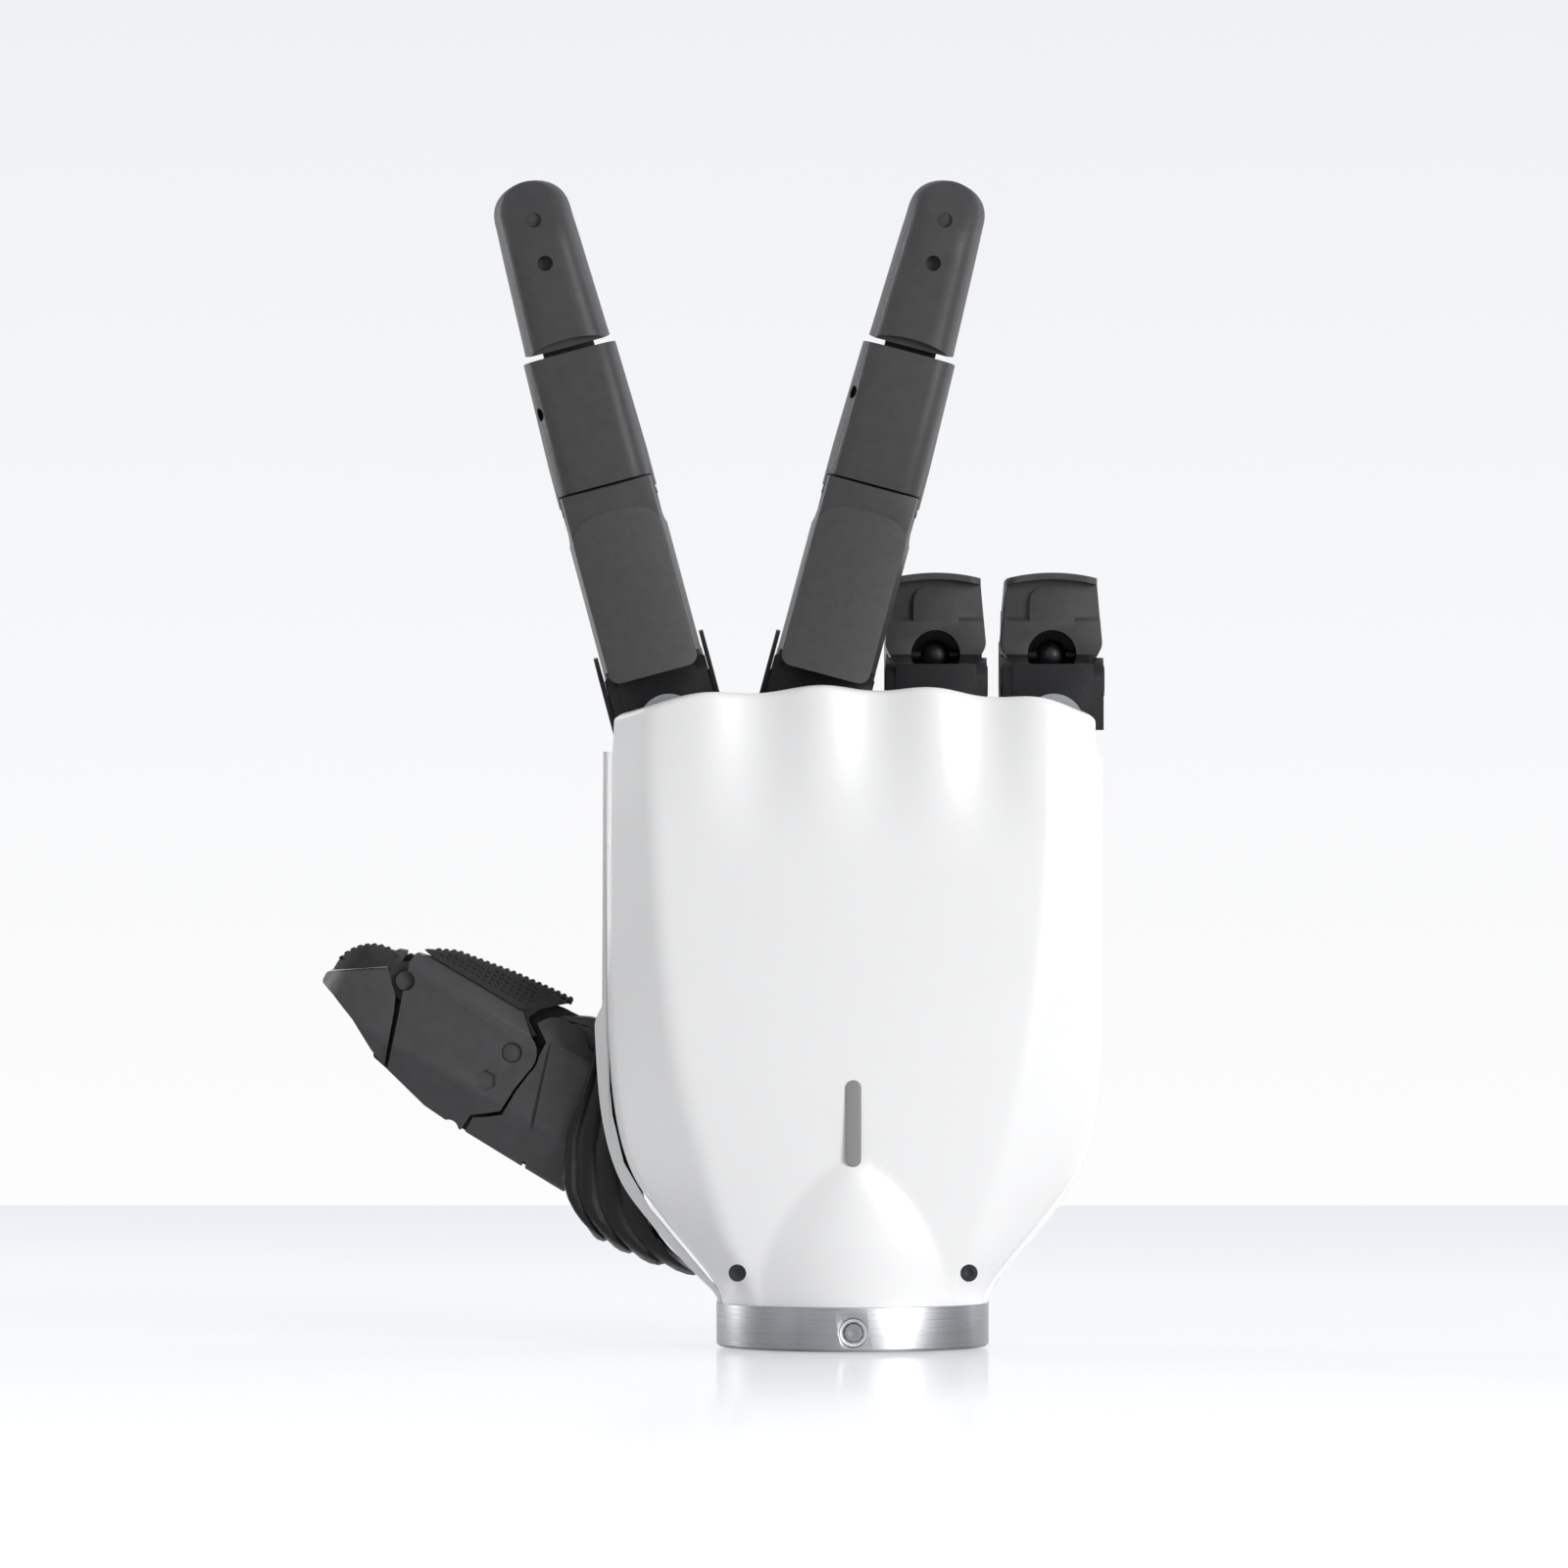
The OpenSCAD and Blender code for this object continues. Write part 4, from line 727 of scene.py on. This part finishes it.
def build_fingers():
    for i in range(4):
        build_tip(i)
        build_cover(i)
    for finger in FINGERS:
        build_eased([finger + p for p in ("_proximal", "_medial", "_knuckle")], 0.5)
        build_eased([finger + "_pad"], 0.3)
        build_eased([finger + p for p in ("_knuckle_pin", "_medial_pin", "_distal_pin")], 0.15)
        rod = eased_copy(finger + "_rod_end", finger + "_rod_end_eased", 0.15)
        dress(rod, Finishes.made["dark_steel"], replaces=[finger + "_rod_end"])


def thumb_frame():
    """Frame of the thumb's bending axle: X out along the thumb, Z to its pads, Y to the back."""
    return placed(-36, THUMB_Y, 40, "Y", 30) @ Matrix.Rotation(math.pi, 4, "Z")


def in_thumb(u, v, d):
    """Point of the thumb's plane, from millimetres."""
    return (u * MM, d * MM, v * MM)


def add_stud(bm, place, normal, radius=0.42, height=0.36):
    """Small dome on a surface, in millimetres."""
    normal = Vector(normal).normalized()
    side = normal.orthogonal().normalized()
    other = normal.cross(side)
    rings = []
    for share, rise in ((1.0, -0.1), (0.95, 0.35), (0.6, 0.85)):
        rings.append([bm.verts.new((Vector(place) + normal * height * rise
                                    + (side * math.cos(a) + other * math.sin(a)) * radius * share) * MM)
                      for a in [math.radians(45 * k) for k in range(8)]])
    grid_faces(bm, rings, close_u=True)
    bm.faces.new(rings[-1])
    bm.faces.new(rings[0][::-1])


def build_studs():
    """Rows of studs on the pads of the thumb, on the top and on the slope that faces the back."""
    middle = bmesh.new()
    for k in range(21):
        a = 25.6 + 1.28 * k
        top = straight_value(STUD_TOP, a)
        slope = (straight_value(STUD_TOP, a - 0.5) - straight_value(STUD_TOP, a + 0.5), 1)
        for y in [3.1 - 1.28 * j for j in range(8)]:
            add_stud(middle, (a, y, top), (slope[0], 0, slope[1]))
        for share in [0.45 + 0.98 * j for j in range(6)]:
            y, z = 7.2 - 3.2 * share / 5.94, 7.4 + 5 * share / 5.94
            if z < top - 0.3 and (a > 31.4 or z > 11.5):
                add_stud(middle, (a, y, z), (0, 5, 3.2))
    tip = bmesh.new()
    for k in range(8):
        t = math.radians(14 + 10 * k)
        normal = (math.cos(t), 0, math.sin(t))
        for j in range(8):
            add_stud(tip, (58.6 + 7.6 * normal[0], 4.5 - 1.28 * j, -4 + 7.6 * normal[2]), normal, 0.36, 0.3)
    for name, bm, body in (("thumb_middle_studs", middle, "thumb_middle"), ("thumb_tip_studs", tip, "thumb_tip")):
        studs = new_object(name, bm)
        studs.data.transform(thumb_frame())
        dress(studs, Finishes.made["grip_pad"], body=body)


def thumb_prism(name, outline, y0, y1, width_mm, body, slot):
    """Plate in the thumb's plane with eased edges, its outline as (x, z, radius) corners."""
    bm = bmesh.new()
    add_prism(bm, soft_outline(outline, 4), in_thumb, (y0, y1))
    plate = new_object(name, bm)
    ease(plate, width_mm)
    plate.data.transform(thumb_frame())
    return dress(plate, Finishes.made[slot], body=body)


def thumb_cutter(outline, half):
    """Cutting prism through the thumb's plane, half wide on both sides of it."""
    bm = bmesh.new()
    add_prism(bm, outline, in_thumb, (-half, half))
    cutter = new_object("cutter", bm)
    cutter.data.transform(thumb_frame())
    return cutter


def build_thumb():
    build_eased(["thumb_swivel", "thumb_base", "thumb_medial"], 0.6)
    build_eased(["thumb_distal_pad"], 0.4)
    build_eased(["thumb_bend_pin"], 0.15)
    # the pad of the middle segment, with its thin lap trimmed and room for the black filler plate of painted shade
    # and for the shoulder of the base
    pad = eased_copy("thumb_medial_pad", "thumb_middle_pad", 0.4)
    lap = [(15, 5), (25, 5), (25, 16), (15, 16)]
    shade_fill_web_room = [(24, 5), (32, 5), (31.7, 8.3), (30.4, 10.6), (28, 11.6), (24, 12.2)]
    shoulder_room = [(24, 5), (28.9, 5), (28.9, 8.3), (28, 10.1), (24, 12.2)]
    cut(pad, [thumb_cutter(lap, 12), thumb_cutter(shade_fill_web_room, 2.7), thumb_cutter(shoulder_room, 5.7)])
    shade(pad, 40)
    dress(pad, Finishes.made["grip_pad"], replaces=["thumb_medial_pad"])
    build_studs()
    # shoulder of the base, which runs in under the shell
    shoulder = [(26.4, 7.4, 1), (25.6, 8.9, 1), (19.8, 11.8, 2), (14, 12.5, 2), (11.5, 11.4, 0.6), (13.6, 9, 1),
                (15.5, 5.2, 0.6), (19.6, 5.6, 0.6)]
    thumb_prism("thumb_shoulder", shoulder, -5.4, 5.4, 0.7, "thumb_root", "charcoal_shell")
    # painted shade: black filler plates under the pad, one on the base in the middle and one on each side of it,
    # dark sheets that stand in for the shade in the gap
    shade_fill_web = [(23.6, 1.6, 0.3), (28, 1.2, 0.3), (31, 5.8, 0.4), (29.5, 8, 0.4), (28, 9.9, 0.4), (25.6, 10.3, 0.4),
           (20, 10.6, 0.6)]
    thumb_prism("thumb_shade_fill_web", shade_fill_web, -2.4, 2.4, 0.2, "thumb_root", "black_frame")
    shade_fill_cheek = [(25.4, 11.6, 0.3), (28.9, 11.6, 0.3), (33.2, 6.6, 0.3), (30.6, 3.4, 0.3), (28.4, 2.6, 0.2),
             (27.4, 3.6, 0.2), (30.2, 5.2, 0.2), (30.4, 5.9, 0.3), (29.3, 8.1, 0.4), (27.4, 9.9, 0.4)]
    for side, y0, y1 in (("left", -6.6, -2.7), ("right", 2.7, 6.6)):
        thumb_prism("thumb_shade_fill_cheek_" + side, shade_fill_cheek, y0, y1, 0.2, "thumb_middle", "black_frame")
    # painted shade: a black filler plate at the back end of the tip's pad, standing in for the shade there, as under
    # the middle pad
    shade_fill_stop = [(52.5, 2.5, 0.3), (56.2, 2.6, 0.3), (55.5, 4.9, 0.4), (52.5, 5.2, 0.3)]
    thumb_prism("thumb_tip_shade_fill_stop", shade_fill_stop, -2.6, 2.6, 0.2, "thumb_middle", "black_frame")
    ear = [(57.8, 4.4, 0.4), (56, 5.1, 0.4), (55.7, 3.4, 0.3), (56, 1.2, 0.3), (57.6, 0.2, 0.3)]
    for side, y0, y1 in (("left", -6, -2.9), ("right", 2.9, 6)):
        thumb_prism("thumb_tip_ear_" + side, ear, y0, y1, 0.25, "thumb_tip", "charcoal_shell")
    # painted shade: a black filler plate behind the seam of the tip, in a slot of its own, standing in for the shade
    # in the seam
    tip_shade_fill_web = [(49, -2, 0.3), (55.2, -3.4, 1), (54.4, -8, 1), (51.8, -15, 0.5), (46, -16.2, 0.3)]
    thumb_prism("thumb_tip_shade_fill_web", tip_shade_fill_web, -2.6, 2.6, 0.2, "thumb_middle", "black_frame")
    tip = eased_copy("thumb_distal", "thumb_end", 0.6)
    cut(tip, [thumb_cutter([(47, -1), (56.4, -1.6), (56.6, -8), (54.2, -17.5), (47, -18)], 2.9)])
    shade(tip, 40)
    dress(tip, Finishes.made["charcoal_shell"], replaces=["thumb_distal"])
    # small heads in the notches of the lower edge
    for name, a in (("thumb_edge_screw_far", 30.9), ("thumb_edge_screw_near", 17.9)):
        head = [(a - 1.2, -18.3, 0.4), (a + 1.2, -18.3, 0.4), (a + 1.2, -15.4, 0.3), (a - 1.2, -15.4, 0.3)]
        thumb_prism(name, head, -2.4, 2.4, 0.2, "thumb_root", "black_frame")
    for node in ("thumb_medial_pin", "thumb_distal_pin"):
        dress(eased_copy(node, node + "_eased", 0.15), Finishes.made["charcoal_shell"], replaces=[node])
    # the boot as an eased copy in rubber, baked in place
    boot = eased_copy("thumb_boot", "thumb_bellows", 0.5)
    boot.data.materials.clear()
    boot.data.materials.append(Finishes.made["rubber"])
    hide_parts("thumb_boot")
    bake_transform(boot)


def lock_rings(bm, rows):
    """Rings about the axis of the lock screw in the back of the flange, from (radius, depth) rows."""
    return [[bm.verts.new((radius * math.cos(a) * MM, depth * MM, (LOCK_Z + radius * math.sin(a)) * MM))
             for a in [math.radians(10 * k) for k in range(36)]] for radius, depth in rows]


def build_wrist():
    # flange with the wide seats of its lock screws, each lined by a bright turned cone
    flange = eased_copy("wrist_flange", "wrist_ring", 0.12)
    for side, turn in (("back", 0), ("front", math.pi)):
        bm = bmesh.new()
        rings = lock_rings(bm, ((3.5, -26.2), (2.9, -25.0), (1.9, -24.1), (1.9, -23.6)))
        grid_faces(bm, rings, close_u=True)
        bm.faces.new(rings[-1])
        bm.faces.new(rings[0][::-1])
        seat = new_object("cutter", bm)
        seat.data.transform(Matrix.Rotation(turn, 4, "Z"))
        cut(flange, [seat])
        bm = bmesh.new()
        rings = lock_rings(bm, ((2.85, -24.86), (1.92, -24.13), (1.92, -23.95), (3.0, -24.7)))
        grid_faces(bm, rings + rings[:1], close_u=True)
        lining = new_object("lock_seat_" + side, bm, 30)
        lining.data.transform(Matrix.Rotation(turn, 4, "Z"))
        dress(lining, Finishes.made["bright_metal"], body=BODY_OF["wrist_flange"])
    dress(flange, Finishes.made["wrist_metal"], replaces=["wrist_flange"])
    # the CAD's screws as two pieces: grey ones in the flange and dark ones in the back shell
    for name, high, finish in (("wrist_screws", False, "pin_steel"), ("shell_screws", True, "dark_steel")):
        piece = eased_copy("screws", name, 0.08)
        bm = bmesh.new()
        bm.from_mesh(piece.data)
        away = [v for v in bm.verts if (v.co.z > SCREW_SPLIT_Z * MM) != high]
        bmesh.ops.delete(bm, geom=away, context="VERTS")
        bm.to_mesh(piece.data)
        bm.free()
        dress(piece, Finishes.made[finish], replaces=["screws"])


# ---------------------------------------------------------------- studio

# slopes of the view at which the room's gradient starts, above, and ends, at the far edge of the floor
SKY_TOP = 0.072
SKY_FOOT = -0.03856
BACKDROP = ((0.0, "#eff1f5"), (1.0, "#fdfdfd"))

# the floor's tones and polish run from its far edge towards the camera
FLOOR_FAR_Y = 0.674
FLOOR_RUN = 1.4
FLOOR_HALF = 4
FLOOR_NEAR_Y = -3
FLOOR_TONES = ((0.1, "#cdcfd3"), (0.6, "#e8e8e8"))
POLISH = ((0.2, "#000000"), (0.32, "#b0b0b0"), (0.48, "#000000"))


def paint_ramp(tree, rows, factor):
    """Colour ramp through (position, hex) rows."""
    ramp = add_node(tree, "ShaderNodeValToRGB", links={"Fac": factor})
    elements = ramp.color_ramp.elements
    elements[0].position, elements[0].color = rows[0][0], linear(rows[0][1])
    elements[1].position, elements[1].color = rows[-1][0], linear(rows[-1][1])
    for position, hex_text in rows[1:-1]:
        elements.new(position).color = linear(hex_text)
    return ramp.outputs["Color"]


def seen_rays(tree):
    """1 for the rays of the camera, of mirrors and of lenses, and 0 for the rest."""
    path = add_node(tree, "ShaderNodeLightPath")
    total = path.outputs["Is Camera Ray"]
    for ray in ("Is Glossy Ray", "Is Transmission Ray"):
        either = add_node(tree, "ShaderNodeMath", {"operation": "MAXIMUM"})
        tree.links.new(total, either.inputs[0])
        tree.links.new(path.outputs[ray], either.inputs[1])
        total = either.outputs["Value"]
    return total


def seen_glow(tree, colour):
    """Emission that doesn't light the hand."""
    return add_node(tree, "ShaderNodeEmission", links={"Color": colour, "Strength": seen_rays(tree)})


def add_area(name, place, target, size, power):
    """Soft white rectangular lamp that faces a target."""
    data = bpy.data.lights.new(name, "AREA")
    data.shape = "RECTANGLE"
    data.size, data.size_y = size
    data.energy = power
    light = bpy.data.objects.new(name, data)
    bpy.context.scene.collection.objects.link(light)
    light.location = place
    light.rotation_euler = (Vector(target) - Vector(place)).to_track_quat("-Z", "Y").to_euler()
    return light


def build_camera():
    data = bpy.data.cameras.new("main camera")
    data.lens = 250
    data.sensor_width = 36
    data.clip_end = 20
    camera = bpy.data.objects.new("main camera", data)
    bpy.context.scene.collection.objects.link(camera)
    camera.location = (-0.0126, -2.0, 0.1031)
    camera.rotation_euler = (math.radians(90), 0, 0)
    bpy.context.scene.camera = camera


def make_floor_finish():
    """Pale floor that keeps the shadow, with a polish that fades towards the camera."""
    material, tree, shader, place = bare_material("pale polished floor")
    shader.inputs["Base Color"].default_value = linear("#9a9b9d")
    shader.inputs["Roughness"].default_value = 0.9
    shader.inputs["Specular IOR Level"].default_value = 0.0
    depth = add_node(tree, "ShaderNodeSeparateXYZ", links={"Vector": place}).outputs["Y"]
    along = add_node(tree, "ShaderNodeMapRange", {"From Min": FLOOR_FAR_Y, "From Max": -FLOOR_RUN},
                     {"Value": depth}).outputs["Result"]
    glow = seen_glow(tree, paint_ramp(tree, FLOOR_TONES, along))
    matte = add_node(tree, "ShaderNodeAddShader")
    tree.links.new(shader.outputs["BSDF"], matte.inputs[0])
    tree.links.new(glow.outputs["Emission"], matte.inputs[1])
    mirror = add_node(tree, "ShaderNodeBsdfGlossy", {"Color": linear("#ffffff"), "Roughness": 0.1})
    mix = add_node(tree, "ShaderNodeMixShader", links={"Fac": paint_ramp(tree, POLISH, along)})
    tree.links.new(matte.outputs["Shader"], mix.inputs[1])
    tree.links.new(mirror.outputs["BSDF"], mix.inputs[2])
    output = [n for n in tree.nodes if n.bl_idname == "ShaderNodeOutputMaterial"][0]
    tree.links.new(mix.outputs["Shader"], output.inputs["Surface"])
    return material


def build_stage():
    looks = bpy.context.scene.hand_stage
    scene = bpy.context.scene
    scene.view_settings.view_transform = "Standard"
    world = bpy.data.worlds.new("studio air")
    world.use_nodes = True
    scene.world = world
    tree = world.node_tree
    tree.nodes.clear()
    # even light of the room, and a plain gradient that only the camera, mirrors and lenses see
    room = add_node(tree, "ShaderNodeBackground", {"Color": linear("#f6f7f8"), "Strength": looks.air})
    view = add_node(tree, "ShaderNodeTexCoord").outputs["Generated"]
    split = add_node(tree, "ShaderNodeSeparateXYZ", links={"Vector": view})
    height = add_node(tree, "ShaderNodeMapRange", {"From Min": SKY_TOP, "From Max": SKY_FOOT},
                      {"Value": split.outputs["Z"]}).outputs["Result"]
    seen = add_node(tree, "ShaderNodeBackground", {"Strength": 1.0}, {"Color": paint_ramp(tree, BACKDROP, height)})
    mix = add_node(tree, "ShaderNodeMixShader", links={"Fac": seen_rays(tree)})
    tree.links.new(room.outputs["Background"], mix.inputs[1])
    tree.links.new(seen.outputs["Background"], mix.inputs[2])
    add_node(tree, "ShaderNodeOutputWorld", links={"Surface": mix.outputs["Shader"]})

    # floor
    bm = bmesh.new()
    corners = [(-FLOOR_HALF, FLOOR_NEAR_Y, 0), (FLOOR_HALF, FLOOR_NEAR_Y, 0), (FLOOR_HALF, FLOOR_FAR_Y, 0),
               (-FLOOR_HALF, FLOOR_FAR_Y, 0)]
    bm.faces.new([bm.verts.new(c) for c in corners])
    floor = new_object("floor", bm)
    floor.location.z = -0.0004
    floor.data.materials.append(make_floor_finish())

    target = (0, 0, 0.1)
    add_area("key softbox", (1.1, -1.2, 0.35), target, (0.7, 1.1), looks.key)
    add_area("left fill", (-1.3, -1.0, 0.3), target, (0.9, 1.4), looks.fill)
    add_area("top bank", (0.1, 0.45, 1.2), target, (1.2, 0.6), looks.top)
    add_area("rim strip right", (0.7, 0.35, 0.25), target, (0.15, 0.9), looks.rim * 0.4)
    add_area("rim strip left", (-0.7, 0.35, 0.25), target, (0.15, 0.9), looks.rim)


# ---------------------------------------------------------------- settings, operators and panel

class HandLooks(bpy.types.PropertyGroup):
    shell_colour: bpy.props.StringProperty(
        name="Shell colour", description="sRGB hex colour of the white shells", default="#f1f1f1")
    shell_roughness: bpy.props.FloatProperty(
        name="Shell roughness", description="Roughness of the polished shells", default=0.34, min=0.02, max=1)
    finger_colour: bpy.props.StringProperty(
        name="Finger colour", description="sRGB hex colour of the finger segments", default="#434344")
    cover_colour: bpy.props.StringProperty(
        name="Cover colour", description="sRGB hex colour of the cover plates", default="#474747")
    boot_colour: bpy.props.StringProperty(
        name="Boot colour", description="sRGB hex colour of the thumb's boot", default="#161617")
    lens_colour: bpy.props.StringProperty(
        name="Lens colour", description="sRGB hex colour of the status light", default="#8a8888")


class HandStage(bpy.types.PropertyGroup):
    air: bpy.props.FloatProperty(name="Room light", description="Strength of the even light", default=0.43)
    key: bpy.props.FloatProperty(name="Key light", description="Right softbox", default=24, unit="POWER")
    fill: bpy.props.FloatProperty(name="Fill light", description="Left softbox", default=3.8, unit="POWER")
    top: bpy.props.FloatProperty(name="Top light", description="Overhead bank", default=1.5, unit="POWER")
    rim: bpy.props.FloatProperty(name="Rim light", description="Strips behind the hand", default=3.6, unit="POWER")


class HAND_OT_finishes(bpy.types.Operator):
    """Make the materials and give every frame node its own"""
    bl_idname = "hand.finishes"
    bl_label = "Finishes"

    def execute(self, context):
        make_finishes()
        return {"FINISHED"}


class HAND_OT_shells(bpy.types.Operator):
    """Build the two palm shells with the palm's pad and the status light"""
    bl_idname = "hand.shells"
    bl_label = "Palm shells"

    def execute(self, context):
        build_shells()
        return {"FINISHED"}


class HAND_OT_fingers(bpy.types.Operator):
    """Build the four fingers"""
    bl_idname = "hand.fingers"
    bl_label = "Fingers"

    def execute(self, context):
        build_fingers()
        return {"FINISHED"}


class HAND_OT_thumb(bpy.types.Operator):
    """Build the thumb and its boot"""
    bl_idname = "hand.thumb"
    bl_label = "Thumb"

    def execute(self, context):
        build_thumb()
        return {"FINISHED"}


class HAND_OT_wrist(bpy.types.Operator):
    """Build the wrist flange and the screws"""
    bl_idname = "hand.wrist"
    bl_label = "Wrist"

    def execute(self, context):
        build_wrist()
        return {"FINISHED"}


class HAND_OT_stage(bpy.types.Operator):
    """Set up the backdrop, the floor and the lights"""
    bl_idname = "hand.stage"
    bl_label = "Stage"

    def execute(self, context):
        build_stage()
        return {"FINISHED"}


class HAND_PT_panel(bpy.types.Panel):
    """Sidebar panel of the hand dresser"""
    bl_idname = "HAND_PT_panel"
    bl_label = "Hand"
    bl_space_type = "VIEW_3D"
    bl_region_type = "UI"
    bl_category = "Hand"

    def draw(self, context):
        for group in (context.scene.hand_looks, context.scene.hand_stage):
            for key in group.bl_rna.properties.keys():
                if key not in ("rna_type", "name"):
                    self.layout.prop(group, key)
        for operator in OPERATORS:
            self.layout.operator(operator.bl_idname)


OPERATORS = (HAND_OT_finishes, HAND_OT_shells, HAND_OT_fingers, HAND_OT_thumb, HAND_OT_wrist, HAND_OT_stage)
CLASSES = (HandLooks, HandStage, *OPERATORS, HAND_PT_panel)
SLOT_OF = {s["node"]: s["material_slot"] for s in frame["record"]["subparts"]}


def register():
    for cls in CLASSES:
        bpy.utils.register_class(cls)
    bpy.types.Scene.hand_looks = bpy.props.PointerProperty(type=HandLooks)
    bpy.types.Scene.hand_stage = bpy.props.PointerProperty(type=HandStage)


def unregister():
    del bpy.types.Scene.hand_looks
    del bpy.types.Scene.hand_stage
    for cls in reversed(CLASSES):
        bpy.utils.unregister_class(cls)


def main():
    register()
    build_camera()
    bpy.ops.hand.stage()
    bpy.ops.hand.finishes()
    bpy.ops.hand.shells()
    bpy.ops.hand.fingers()
    bpy.ops.hand.thumb()
    bpy.ops.hand.wrist()


if __name__ == "__main__":
    main()
